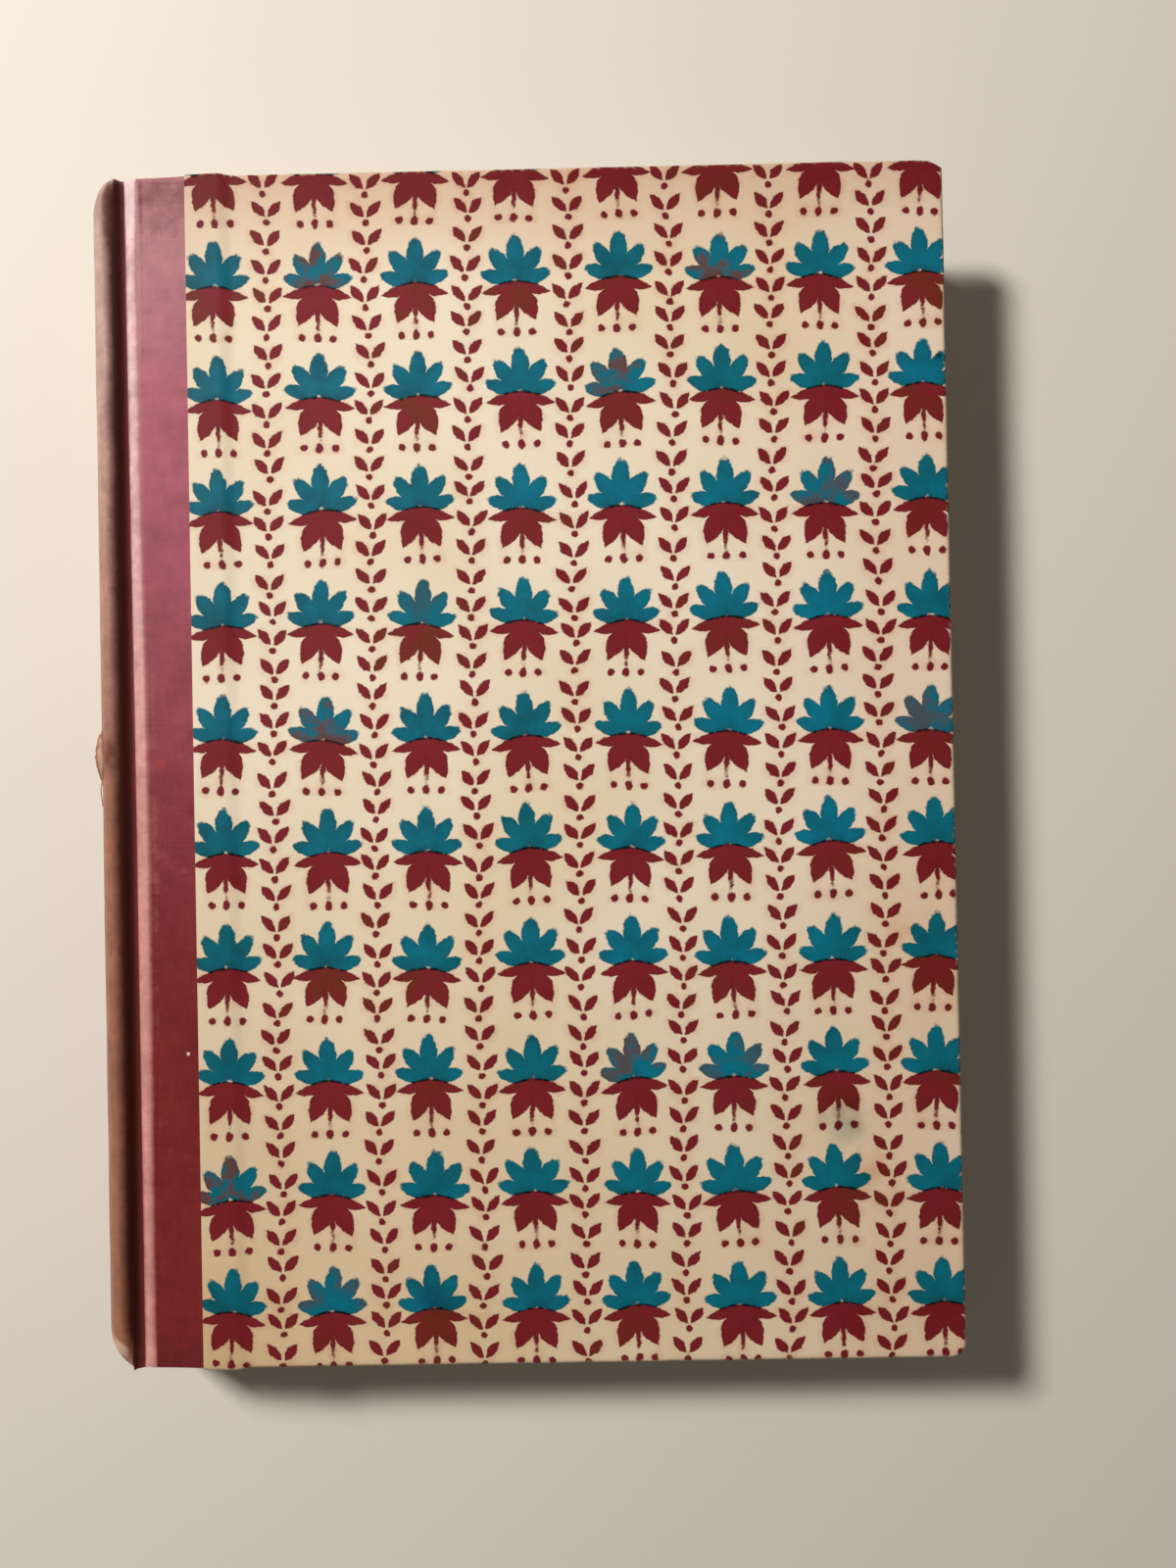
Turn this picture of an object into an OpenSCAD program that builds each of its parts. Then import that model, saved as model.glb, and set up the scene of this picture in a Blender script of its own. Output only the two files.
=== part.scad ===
// Quarter-bound hardback book lying closed on its back cover.
// Cloth covers the spine and the inner edge of each board, printed paper covers the rest.
// +Z is up, +Y points to the head of the book and the spine is at -X.
// The origin is under the middle of the book, on the surface that it lies on.

/* [Boards] */
// Height of a bare board, head to tail
board_h = 228; // [180:1:300]
// Width of a bare board, joint to fore edge
board_w = 156.5; // [110:0.5:220]
// Thickness of the grey board
board_t = 2.4; // [1.6:0.1:3.2]
// Radius of the rubbed corners at the fore edge
corner_r = 2.6; // [1:0.1:6]
// Width of the joint, from the shoulder of the page block to the board
joint_w = 3.8; // [3.6:0.1:8]

/* [Coverings] */
// Thickness of the book cloth
cloth_t = 0.35; // [0.25:0.05:0.6]
// Thickness of the printed side paper
side_paper_t = 0.2; // [0.1:0.05:0.3]
// Width of cloth left showing on each board
cloth_show = 11.6; // [8:0.1:30]
// Width of cloth hidden under the side paper
cloth_lap = 6.4; // [4:0.1:12]
// Width of cloth and paper turned in over the edges of the boards
turn_in = 15; // [10:0.5:22]

/* [Page block] */
// Thickness of the sewn leaves, without the endpapers
leaves_t = 18.5; // [10:0.5:32]
// How far the boards stand past the leaves at head, tail and fore edge
square_w = 3; // [2:0.1:5]
// How far the rounded back stands out behind the shoulders
back_rise = 4; // [2:0.1:5]
// Height of each shoulder above the flat of the leaves
shoulder_h = 1.6; // [1:0.1:2.2]
// Distance over which the outer leaves bend up to the shoulder
shoulder_run = 2.2; // [1.6:0.1:2.6]
// How far the fore edge is hollowed
fore_hollow = 3; // [1.5:0.1:4]
// Number of folded sections
section_count = 14; // [8:1:24]
// Width of the valley between the folds of two sections
fold_valley = 0.7; // [0.4:0.05:0.9]

/* [Sewing and linings] */
// Thickness of the endpaper
endpaper_t = 0.2; // [0.15:0.05:0.3]
// Diameter of the sewing thread
thread_d = 0.6; // [0.4:0.05:0.9]
// Number of sewing stations along the back
station_count = 5; // [3:1:8]
// Distance of the first and last station from the ends of the leaves
kettle_inset = 16; // [14:1:24]
// Thickness of the open-weave mull
mull_t = 0.25; // [0.2:0.05:0.4]
// Distance that the mull stops short of the ends of the leaves
mull_inset = 12; // [11:0.5:13]
// Width of the wing of mull that is glued to each board
mull_wing = 25; // [18:1:35]
// Thickness of the paper lining on the back
lining_t = 0.2; // [0.15:0.05:0.4]
// Diameter of the bead of a headband
band_d = 1.8; // [1.4:0.1:2.2]
// Length of headband tape glued to the back
band_tape = 10; // [6:0.5:10.5]

/* [Spine of the case] */
// Free space between the lined back and the turned-in spine cloth
hollow_gap = 0.2; // [0.1:0.05:0.8]
// Thickness of the card that stiffens the spine
inlay_t = 0.6; // [0.4:0.1:1.2]

/* [Hidden] */
$fn = 96;

// Thin layers that curve round the back are glued with this much between them
glue = 0.05;
// Space left between a closed cover and the leaves, and beside a moving edge
closing_gap = 0.05;
edge_gap = 0.15;
// Angle by which the headbands and the stitches stop short of the shoulders
band_stop = 6;
stitch_stop = 2;
// Distance that the wings of the mull keep from the turned-in cloth
wing_inset = 1;
// More than any solid, for cutting right through
past = 1;
far = 400;

// Levels above the middle of the thickness, from the leaves outwards
z_leaves = leaves_t / 2;
z_flyleaf = z_leaves + endpaper_t;
z_pastedown = z_flyleaf + closing_gap;
z_board = z_pastedown + endpaper_t + cloth_t + side_paper_t;
z_board_top = z_board + board_t;
z_cloth_top = z_board_top + cloth_t;
z_case_top = z_cloth_top + side_paper_t;

// Places along X, from the line through the shoulders towards the fore edge
x_board = joint_w;
x_fore = joint_w + board_w;
x_show = joint_w + cloth_show;
x_lap = x_show + cloth_lap;
x_leaves = x_fore - square_w;
leaves_h = board_h - 2 * square_w;
mull_h = leaves_h - 2 * mull_inset;

// The rounded back is an arc through both shoulders
z_shoulder = z_leaves + shoulder_h;
back_r = (z_shoulder * z_shoulder + back_rise * back_rise) / (2 * back_rise);
back_x = back_r - back_rise;
back_angle = asin(z_shoulder / back_r);
// The hollow of the fore edge is a shallower arc between the outer leaves
fore_r = (z_leaves * z_leaves + fore_hollow * fore_hollow) / (2 * fore_hollow);

// Radii of the layers on the back, from the leaves outwards
r_band_tape = back_r + glue;
r_lining = r_band_tape + mull_t + glue;
r_turned_cloth = r_lining + lining_t + hollow_gap;
r_inlay = r_turned_cloth + cloth_t;
r_spine_cloth = r_inlay + inlay_t;
r_case = r_spine_cloth + cloth_t;
// Angle that one thickness of cloth takes up at the edge of the inlay
wrap_angle = cloth_t / r_inlay * 180 / PI;

// Middle of the whole book along X
x_left = back_x - r_case;
x_right = x_fore + side_paper_t;
x_middle = (x_left + x_right) / 2;

// Point at a radius and an angle above the middle, round the centre of the back
function on_back(r, a) = [back_x - r * cos(a), r * sin(a)];

// Outline of a board with square corners at the joint and rubbed corners at the
// fore edge, grown on all sides but kept to the stretch of X that is asked for
function board_outline(grow, from_x, to_x) =
    let (
        r = corner_r + grow,
        x1 = min(to_x, x_fore + grow),
        y1 = board_h / 2 + grow,
        arc = [for (a = [0:15:90]) [x_fore + grow - r + r * sin(a), y1 - r + r * cos(a)]],
        head = to_x > x_fore ? arc : [[x1, y1]]
    )
    concat(
        [[from_x, -y1], [from_x, y1]],
        head,
        [for (i = [len(head) - 1:-1:0]) [head[i].x, -head[i].y]]
    );

// Moves a shape from the line through the shoulders and the middle of the
// thickness to where the book rests
module resting() {
    translate([-x_middle, 0, z_case_top]) children();
}

// Draws a section, with X and Z in the plane of the drawing, along the spine
module along_spine(length) {
    rotate([90, 0, 0])
        linear_extrude(height = length, center = true, convexity = 8) children();
}

// Wedge round the centre of the back that keeps what lies within an angle
module back_wedge(angle) {
    polygon([[back_x, 0], on_back(3 * back_r, -angle), on_back(3 * back_r, 0), on_back(3 * back_r, angle)]);
}

// Section of one layer on the back
module back_layer(r_in, r_out, angle) {
    intersection() {
        translate([back_x, 0]) difference() {
            circle(r_out);
            circle(r_in);
        }
        back_wedge(angle);
    }
}

// Rod that follows the curve of the back at one height along Y, with the given
// number of sides
module back_rod(r, d, angle, y, sides) {
    translate([back_x, y, 0])
        rotate([90, angle - 180, 0])
            rotate_extrude(angle = 2 * angle)
                translate([r, 0]) rotate(180 / sides) circle(d = d, $fn = sides);
}

// Flat layer with the outline of a board
module board_layer(grow, z0, z1, from_x, to_x) {
    translate([0, 0, z0])
        linear_extrude(height = z1 - z0) polygon(board_outline(grow, from_x, to_x));
}

// Box between two places along X and two levels, as long as asked along Y
module slab(x0, x1, length, z0, z1) {
    translate([x0, -length / 2, z0]) cube([x1 - x0, length, z1 - z0]);
}

// Heights along Y of the sewing stations
function station_y(i) =
    (i / (station_count - 1) - 0.5) * (leaves_h - 2 * kettle_inset);

// Solid block of leaves with rounded back, shoulders, hollow fore edge,
// a valley between each two sections and a saw cut at each station
module page_block() {
    color("antiquewhite") resting() difference() {
        along_spine(leaves_h) difference() {
            union() {
                translate([0, -z_leaves]) square([x_leaves, leaves_t]);
                intersection() {
                    translate([back_x, 0]) circle(back_r);
                    polygon([
                        [-far, -z_shoulder], [0, -z_shoulder], [shoulder_run, -z_leaves],
                        [shoulder_run, z_leaves], [0, z_shoulder], [-far, z_shoulder]
                    ]);
                }
            }
            translate([x_leaves - fore_hollow + fore_r, 0]) circle(fore_r);
            for (i = [1:section_count - 1])
                let (a = back_angle * (2 * i / section_count - 1))
                    translate(on_back(back_r, a))
                        rotate(-a) rotate(45) square(fold_valley / sqrt(2), center = true);
        }
        for (i = [0:station_count - 1])
            translate([0, station_y(i), 0]) along_spine(thread_d + 2 * glue)
                back_layer(back_r - thread_d - 2 * glue, back_r + past, 2 * back_angle);
    }
}

// Chain of stitches across the folds at each station, let into its saw cut
module sewing_thread() {
    color("linen") resting()
        for (i = [0:station_count - 1])
            back_rod(back_r - thread_d / 2 - glue, thread_d, back_angle - stitch_stop, station_y(i), 24);
}

// Open-weave cloth glued over the sections between the headbands
module mull() {
    color("wheat") resting()
        along_spine(mull_h)
            back_layer(r_band_tape, r_band_tape + mull_t, back_angle);
}

// Paper lining that stiffens the back
module spine_lining() {
    color("burlywood") resting()
        along_spine(leaves_h - 2)
            back_layer(r_lining, r_lining + lining_t, back_angle);
}

// Woven bead on the end of the leaves, with the tape that holds it to the back
module end_band() {
    back_rod(
        r_band_tape + (mull_t - band_d) / 2, band_d, back_angle - band_stop,
        leaves_h / 2 + band_d / 2 + glue, 8
    );
    translate([0, leaves_h / 2 + (band_d - band_tape) / 2, 0])
        along_spine(band_tape)
            back_layer(r_band_tape, r_band_tape + mull_t, back_angle - band_stop - 1);
}

module head_band() {
    color("firebrick") resting() end_band();
}

module tail_band() {
    color("firebrick") resting() mirror([0, 1, 0]) end_band();
}

// Free leaf of the endpaper, from the fore edge over the shoulder
module flyleaf() {
    along_spine(leaves_h)
        polygon([
            [x_leaves, z_leaves], [x_leaves, z_flyleaf], [shoulder_run, z_flyleaf],
            [0, z_shoulder + endpaper_t], [0, z_shoulder], [shoulder_run, z_leaves]
        ]);
}

module front_flyleaf() {
    color("ivory") resting() flyleaf();
}

module back_flyleaf() {
    color("ivory") resting() mirror([0, 0, 1]) flyleaf();
}

// Curved card that stiffens the spine of the case
module spine_inlay() {
    color("tan") resting()
        along_spine(board_h) back_layer(r_inlay, r_spine_cloth, back_angle);
}

// Section of the cloth from the ridge at the edge of the inlay, down the
// shoulder and across the floor of the joint
module joint_section() {
    polygon([
        on_back(r_inlay, back_angle),
        on_back(r_spine_cloth + cloth_t / 2, back_angle),
        on_back(r_case, back_angle + wrap_angle),
        [cloth_t, z_shoulder + endpaper_t + cloth_t],
        [shoulder_run + cloth_t, z_flyleaf + cloth_t],
        [x_board - cloth_t - edge_gap, z_flyleaf + cloth_t],
        [x_board - cloth_t - edge_gap, z_flyleaf],
        [shoulder_run, z_flyleaf],
        [0, z_shoulder + endpaper_t]
    ]);
}

// Spine cloth: round the inlay, turned in over its two ends, and down into
// both joints
module spine_cloth() {
    color("brown") resting() {
        along_spine(board_h + 2 * cloth_t) {
            back_layer(r_spine_cloth, r_case, back_angle + wrap_angle);
            joint_section();
            mirror([0, 1]) joint_section();
        }
        difference() {
            along_spine(board_h + 2 * cloth_t)
                back_layer(r_turned_cloth, r_spine_cloth + cloth_t / 2, back_angle);
            along_spine(board_h) back_layer(r_inlay, r_spine_cloth, 2 * back_angle);
            along_spine(board_h - 2 * turn_in)
                back_layer(r_turned_cloth - past, r_inlay, 2 * back_angle);
        }
    }
}

// Grey board of one cover
module board() {
    board_layer(0, z_board, z_board_top, x_board, far);
}

// Cloth on one board, turned in at head and tail and carried round the inner edge
module board_cloth() {
    difference() {
        board_layer(cloth_t, z_board - cloth_t, z_cloth_top, x_board - cloth_t, x_lap);
        board();
        slab(x_board - past, x_lap + past, board_h - 2 * turn_in, z_board - far, z_board);
    }
}

// Printed paper on one board: it laps over the cloth, steps down off the cloth's
// edge and turns in at head, tail and fore edge
module side_paper() {
    difference() {
        union() {
            board_layer(side_paper_t, z_board - side_paper_t, z_board_top + side_paper_t, x_show, far);
            board_layer(
                cloth_t + side_paper_t,
                z_board - cloth_t - side_paper_t, z_case_top,
                x_show, x_lap + side_paper_t
            );
        }
        board();
        board_layer(cloth_t, z_board - cloth_t, z_cloth_top, x_board, x_lap);
        slab(x_board, x_fore - turn_in, board_h - 2 * turn_in, z_board - far, z_board);
    }
}

// Wing of the mull, glued to the inside of the board
module wing() {
    slab(x_board, x_board + mull_wing, mull_h - 2 * wing_inset, z_board - mull_t, z_board);
}

// One thickness of endpaper over a layer that stands on the inside of the board,
// within the turned-in margins at head and tail, and at the fore edge where asked
module paper_over_margin(x0, x1, layer_t, x_inner) {
    difference() {
        slab(x0, x1, leaves_h, z_board - layer_t - endpaper_t, z_board);
        slab(x0 - past, x_inner, board_h - 2 * (turn_in + endpaper_t), z_board - far, z_board + past);
    }
}

// Half of the endpaper that is pasted to the board: one sheet that follows the
// steps of the mull and of the turn-ins below it
module pastedown() {
    x_inner = x_fore - turn_in - endpaper_t;
    difference() {
        union() {
            slab(x_board, x_leaves, leaves_h, z_board - endpaper_t, z_board);
            slab(
                x_board, x_board + mull_wing + endpaper_t,
                mull_h - 2 * wing_inset + 2 * endpaper_t,
                z_board - mull_t - endpaper_t, z_board
            );
            paper_over_margin(x_board, x_lap + endpaper_t, cloth_t, far);
            paper_over_margin(x_show - endpaper_t, x_leaves, side_paper_t, x_inner);
            paper_over_margin(
                x_show - endpaper_t, x_lap + side_paper_t + endpaper_t,
                cloth_t + side_paper_t, far
            );
        }
        wing();
        board_cloth();
        side_paper();
    }
}

module front_board() {
    color("darkgray") resting() board();
}

module front_board_cloth() {
    color("brown") resting() board_cloth();
}

module front_side_paper() {
    color("moccasin") resting() side_paper();
}

module front_pastedown() {
    color("ivory") resting() pastedown();
}

module front_mull_wing() {
    color("wheat") resting() wing();
}

module back_board() {
    color("darkgray") resting() mirror([0, 0, 1]) board();
}

module back_board_cloth() {
    color("brown") resting() mirror([0, 0, 1]) board_cloth();
}

module back_side_paper() {
    color("moccasin") resting() mirror([0, 0, 1]) side_paper();
}

module back_pastedown() {
    color("ivory") resting() mirror([0, 0, 1]) pastedown();
}

module back_mull_wing() {
    color("wheat") resting() mirror([0, 0, 1]) wing();
}

page_block();
sewing_thread();
mull();
spine_lining();
head_band();
tail_band();
front_flyleaf();
back_flyleaf();
spine_inlay();
spine_cloth();
front_board();
front_board_cloth();
front_side_paper();
front_pastedown();
front_mull_wing();
back_board();
back_board_cloth();
back_side_paper();
back_pastedown();
back_mull_wing();
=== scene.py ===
"""Looks of a quarter-bound hardback book: worn cloth spine, block-printed paper sides, sewn leaves.

Lengths are in millimetres in the bookbinder's frame until a mesh is made: x runs from the shoulders
of the leaves to the fore edge, y along the spine towards the head, and z up from the middle of the
thickness. The printed paper and the cloth are made as the sheets they are, with their unfolded
coordinates kept on the mesh, so that print and weave run over every edge.
"""

import logging
import math
from collections.abc import Callable, Sequence
from dataclasses import dataclass, field
from enum import Enum
from functools import cached_property
from typing import Any

import bpy
from bpy.types import Material, Node, NodeSocket, NodeTree, Object
from mathutils import Euler, Matrix, Vector, noise

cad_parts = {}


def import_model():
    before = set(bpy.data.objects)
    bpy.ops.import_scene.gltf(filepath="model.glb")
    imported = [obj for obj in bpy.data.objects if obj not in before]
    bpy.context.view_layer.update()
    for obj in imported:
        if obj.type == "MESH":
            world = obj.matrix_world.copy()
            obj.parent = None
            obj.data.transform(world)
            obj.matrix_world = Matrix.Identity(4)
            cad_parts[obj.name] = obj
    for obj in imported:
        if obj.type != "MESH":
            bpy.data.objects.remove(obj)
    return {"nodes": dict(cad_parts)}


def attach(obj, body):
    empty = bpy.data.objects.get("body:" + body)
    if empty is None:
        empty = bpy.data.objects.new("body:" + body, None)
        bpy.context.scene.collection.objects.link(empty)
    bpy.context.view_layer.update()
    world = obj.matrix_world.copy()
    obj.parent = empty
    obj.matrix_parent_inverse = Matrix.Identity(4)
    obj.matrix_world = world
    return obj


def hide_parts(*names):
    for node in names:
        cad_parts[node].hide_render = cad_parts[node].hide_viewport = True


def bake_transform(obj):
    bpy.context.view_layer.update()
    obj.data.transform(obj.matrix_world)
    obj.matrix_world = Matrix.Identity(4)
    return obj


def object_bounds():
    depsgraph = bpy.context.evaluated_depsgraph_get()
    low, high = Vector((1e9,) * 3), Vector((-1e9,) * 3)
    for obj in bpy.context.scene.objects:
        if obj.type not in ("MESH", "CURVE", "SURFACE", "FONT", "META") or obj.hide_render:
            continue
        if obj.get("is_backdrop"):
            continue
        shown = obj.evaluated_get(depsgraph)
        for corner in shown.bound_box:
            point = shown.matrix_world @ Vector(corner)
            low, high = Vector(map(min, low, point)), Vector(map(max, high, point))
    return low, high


log = logging.getLogger("hardback")

MM = 0.001
BLOCK_BODY = "book_block"
Point = tuple[float, float, float]
Plane = tuple[float, float]
# Two places between which a value changes, and the value at each of them.
Ramp = tuple[float, float, float, float]
# Point attribute with the unfolded place on a sheet, and its wear or the distance to its fold; on the cloth
# the wear also carries painted shade and painted highlight.
LAY = "lay"


class Side(Enum):
    """Which cover a piece belongs to; the value is the sign of z."""

    FRONT = 1
    BACK = -1

    @property
    def word(self) -> str:
        """The start of the piece's name."""
        return self.name.lower()

    @property
    def body(self) -> str:
        """The moving body of this cover."""
        return f"{self.word}_cover"


def clamp(value: float, low: float = 0.0, high: float = 1.0) -> float:
    """Keeps a value between two limits."""
    return max(low, min(high, value))


def smooth(start: float, end: float, value: float) -> float:
    """Rises softly from 0 at start to 1 at end."""
    t = clamp((value - start) / (end - start))
    return t * t * (3 - 2 * t)


def spread(low: float, high: float, step: float) -> list[float]:
    """Even places from low to high, no further apart than step."""
    count = max(1, math.ceil((high - low) / step))
    return [low + (high - low) * i / count for i in range(count + 1)]


def wander(x: float, y: float, z: float = 0.0, scale: float = 1.0) -> float:
    """Smooth noise between about -1 and 1 with features of the given size."""
    return noise.noise(Vector((x, y, z)) / scale)


@dataclass(frozen=True)
class Binding:
    """Sizes of the binding in millimetres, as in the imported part."""

    board_h: float = 228.0
    board_w: float = 156.5
    board_t: float = 2.4
    corner_r: float = 2.6
    joint_w: float = 3.8
    cloth_t: float = 0.35
    side_paper_t: float = 0.2
    cloth_show: float = 11.6
    cloth_lap: float = 6.4
    turn_in: float = 15.0
    leaves_t: float = 18.5
    square_w: float = 3.0
    back_rise: float = 4.0
    shoulder_h: float = 1.6
    shoulder_run: float = 2.2
    fore_hollow: float = 3.0
    section_count: int = 14
    endpaper_t: float = 0.2
    closing_gap: float = 0.05
    mull_t: float = 0.25
    mull_wing: float = 25.0
    wing_h: float = 196.0
    inlay_t: float = 0.6
    stack_t: float = 0.75

    @property
    def z_leaves(self) -> float:
        """Half the thickness of the leaves."""
        return self.leaves_t / 2

    @property
    def z_flyleaf(self) -> float:
        """Outer face of the flyleaf."""
        return self.z_leaves + self.endpaper_t

    @property
    def z_board(self) -> float:
        """Inner face of the board."""
        return self.z_flyleaf + self.closing_gap + self.endpaper_t + self.cloth_t + self.side_paper_t

    @property
    def z_board_top(self) -> float:
        """Outer face of the board."""
        return self.z_board + self.board_t

    @property
    def z_cloth_top(self) -> float:
        """Outer face of the cloth on the board."""
        return self.z_board_top + self.cloth_t

    @property
    def z_case_top(self) -> float:
        """Outer face of the paper where it laps over the cloth."""
        return self.z_cloth_top + self.side_paper_t

    @property
    def x_fore(self) -> float:
        """Fore edge of the board."""
        return self.joint_w + self.board_w

    @property
    def x_show(self) -> float:
        """Edge of the side paper on the cloth."""
        return self.joint_w + self.cloth_show

    @property
    def x_lap(self) -> float:
        """Edge of the cloth under the side paper."""
        return self.x_show + self.cloth_lap

    @property
    def x_leaves(self) -> float:
        """Fore edge of the leaves."""
        return self.x_fore - self.square_w

    @property
    def leaves_h(self) -> float:
        """Height of the leaves."""
        return self.board_h - 2 * self.square_w

    @property
    def z_shoulder(self) -> float:
        """Top of the shoulders."""
        return self.z_leaves + self.shoulder_h

    @property
    def back_r(self) -> float:
        """Radius of the rounded back of the leaves."""
        return (self.z_shoulder**2 + self.back_rise**2) / (2 * self.back_rise)

    @property
    def back_x(self) -> float:
        """Centre of the rounded back."""
        return self.back_r - self.back_rise

    @property
    def back_angle(self) -> float:
        """Angle from the middle of the back to a shoulder."""
        return math.asin(self.z_shoulder / self.back_r)

    @property
    def r_case(self) -> float:
        """Outer radius of the spine cloth."""
        return self.back_r + self.stack_t + self.cloth_t + self.inlay_t + self.cloth_t

    @property
    def x_middle(self) -> float:
        """Middle of the whole book."""
        return (self.back_x - self.r_case + self.x_fore + self.side_paper_t) / 2

    def on_back(self, radius: float, angle: float) -> Plane:
        """Place (x, z) at a radius and an angle round the centre of the back."""
        return self.back_x - radius * math.cos(angle), radius * math.sin(angle)

    def placed(self, x: float, y: float, z: float) -> Point:
        """A binder's place as metres in the row frame."""
        return (x - self.x_middle) * MM, y * MM, (z + self.z_case_top) * MM


def linked(name: str, data: Any) -> Object:
    """Adds an object to the scene.

    Args:
        name: Its name.
        data: Its mesh, light or camera.

    Returns:
        The object.
    """
    made = bpy.data.objects.new(name, data)
    bpy.context.scene.collection.objects.link(made)
    return made


class Draft:
    """A mesh in the making, in the binder's millimetres, with the unfolded place of each point."""

    def __init__(self, binding: Binding, side: Side = Side.FRONT) -> None:
        """Starts empty.

        Args:
            binding: Sizes of the book.
            side: Cover that the mesh is on; the back is a mirror image in z.
        """
        self.binding = binding
        self.side = side
        self.points: list[Point] = []
        self.lays: list[Point] = []
        self.faces: list[tuple[int, ...]] = []
        self.coats: list[int] = []
        self.coat = 0

    def point(self, place: Point, lay: Point) -> int:
        """Adds a point.

        Args:
            place: Where it is, with z measured outwards on this side.
            lay: Unfolded place on the sheet, and how much it is worn.

        Returns:
            The point's number.
        """
        self.points.append((place[0], place[1], place[2] * self.side.value))
        self.lays.append(lay)
        return len(self.points) - 1

    def between(self, first: Sequence[int], second: Sequence[int]) -> None:
        """Joins two equal rows of points with faces, and leaves out faces of no width.

        Args:
            first: Numbers of the points of one row.
            second: Those of the other.
        """
        for i in range(len(first) - 1):
            corners = tuple(dict.fromkeys((first[i], first[i + 1], second[i + 1], second[i])))
            if len(corners) > 2:
                self.cap(corners)

    def skin(self, rows: Sequence[Sequence[int]], closed: bool = False, flip: bool = False) -> None:
        """Joins each row of points to the next.

        Args:
            rows: The rows, all of one length.
            closed: Whether each row is a ring.
            flip: Whether the faces look the other way.
        """
        rows = [[*row, row[0]] if closed else row for row in rows]
        for first, second in zip(rows, rows[1:], strict=False):
            self.between(*((second, first) if flip else (first, second)))

    def cap(self, ring: Sequence[int]) -> None:
        """Closes a ring of points with one face in the present coat."""
        self.faces.append(tuple(ring))
        self.coats.append(self.coat)

    def build(self, name: str, *finishes: Material, hard_deg: float = 50.0) -> Object:
        """Makes the object in the row frame.

        Args:
            name: Name of the piece.
            finishes: Its finish, and those of its further coats.
            hard_deg: Edges that turn by more than this stay sharp.

        Returns:
            The new object, linked to the scene.
        """
        mesh = bpy.data.meshes.new(name)
        faces = self.faces if self.side is Side.FRONT else [face[::-1] for face in self.faces]
        mesh.from_pydata([self.binding.placed(*p) for p in self.points], [], faces)
        layer = mesh.attributes.new(LAY, "FLOAT_VECTOR", "POINT")
        layer.data.foreach_set("vector", [value for lay in self.lays for value in lay])
        for finish in finishes:
            mesh.materials.append(finish)
        mesh.polygons.foreach_set("material_index", self.coats)
        mesh.validate()
        mesh.polygons.foreach_set("use_smooth", [True] * len(mesh.polygons))
        mesh.set_sharp_from_angle(angle=math.radians(hard_deg))
        log.info("%s: %d points, %d faces", name, len(mesh.vertices), len(mesh.polygons))
        return linked(name, mesh)


def three_sides(rows: Sequence[Sequence[int]]) -> list[int]:
    """Points round a grid, but for the side where its rows start."""
    return [*rows[0], *[row[-1] for row in rows[1:]], *rows[-1][-2::-1]]


def linear(hex_code: str) -> tuple[float, float, float, float]:
    """Turns an sRGB colour into linear light.

    Args:
        hex_code: The colour, such as #a04f60.

    Returns:
        Red, green and blue, with full alpha.
    """
    channels = [int(hex_code[i : i + 2], 16) / 255 for i in (1, 3, 5)]
    red, green, blue = (c / 12.92 if c <= 0.04045 else ((c + 0.055) / 1.055) ** 2.4 for c in channels)
    return red, green, blue, 1.0


class Graph:
    """A node tree in the making: that of a material, with its surface shader, or that of the world."""

    def __init__(self, tree: NodeTree) -> None:
        """Starts with an empty tree.

        Args:
            tree: Tree of a material, or of the world.
        """
        self.tree = tree
        self.tree.nodes.clear()
        self.material: Material | None = None
        self.shader: Node | None = None

    @classmethod
    def surface(cls, name: str, roughness: float, sheen: float = 0.25) -> "Graph":
        """Makes a material with its shader.

        Args:
            name: Name of the material.
            roughness: Roughness of the bare surface.
            sheen: Strength of its mirror part; a smooth surface has 0.5, and loose fibres break it up.

        Returns:
            The graph of the new material.
        """
        material = bpy.data.materials.new(name)
        material.use_nodes = True
        g = cls(material.node_tree)
        g.material = material
        bare = {"Roughness": roughness, "IOR": 1.45, "Specular IOR Level": sheen}
        g.shader = g.add("BsdfPrincipled", bare)
        g.finish(g.shader)
        return g

    def finish(self, shader: Node) -> None:
        """Gives the material its surface.

        Args:
            shader: The shader that it ends in, in place of an earlier one.
        """
        for node in [n for n in self.tree.nodes if n.bl_idname == "ShaderNodeOutputMaterial"]:
            self.tree.nodes.remove(node)
        self.add("OutputMaterial", {"Surface": shader})

    def add(self, kind: str, inputs: dict[str, Any] | Sequence[Any] = (), **settings: Any) -> Node:
        """Adds a node with its settings and links.

        Args:
            kind: Node type without its ShaderNode prefix.
            inputs: Values, nodes or sockets for its inputs, in order or by name.
            settings: Properties of the node.

        Returns:
            The node; used as an input it stands for its first live output.
        """
        node = self.tree.nodes.new(f"ShaderNode{kind}")
        for key, value in settings.items():
            setattr(node, key, value)
        for key, value in inputs.items() if isinstance(inputs, dict) else enumerate(inputs):
            if isinstance(value, Node):
                value = next(out for out in value.outputs if out.enabled)
            if isinstance(value, NodeSocket):
                self.tree.links.new(value, node.inputs[key])
            elif value is not None:
                node.inputs[key].default_value = value
        return node

    def feed(self, name: str, source: Node) -> None:
        """Links a node to a socket of the surface shader."""
        self.tree.links.new(next(out for out in source.outputs if out.enabled), self.shader.inputs[name])


@dataclass(frozen=True)
class Blob:
    """A printed oval or leaf: its half width, half length and middle along its own axis."""

    width: float
    half: float
    middle: float = 0.0


@dataclass(frozen=True)
class Fan:
    """Petals about a point: first direction, angle between, number that follow, and how each shrinks."""

    turn: float
    step: float = 1.0
    last: int = 0
    shrink: float = 0.0


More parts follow.
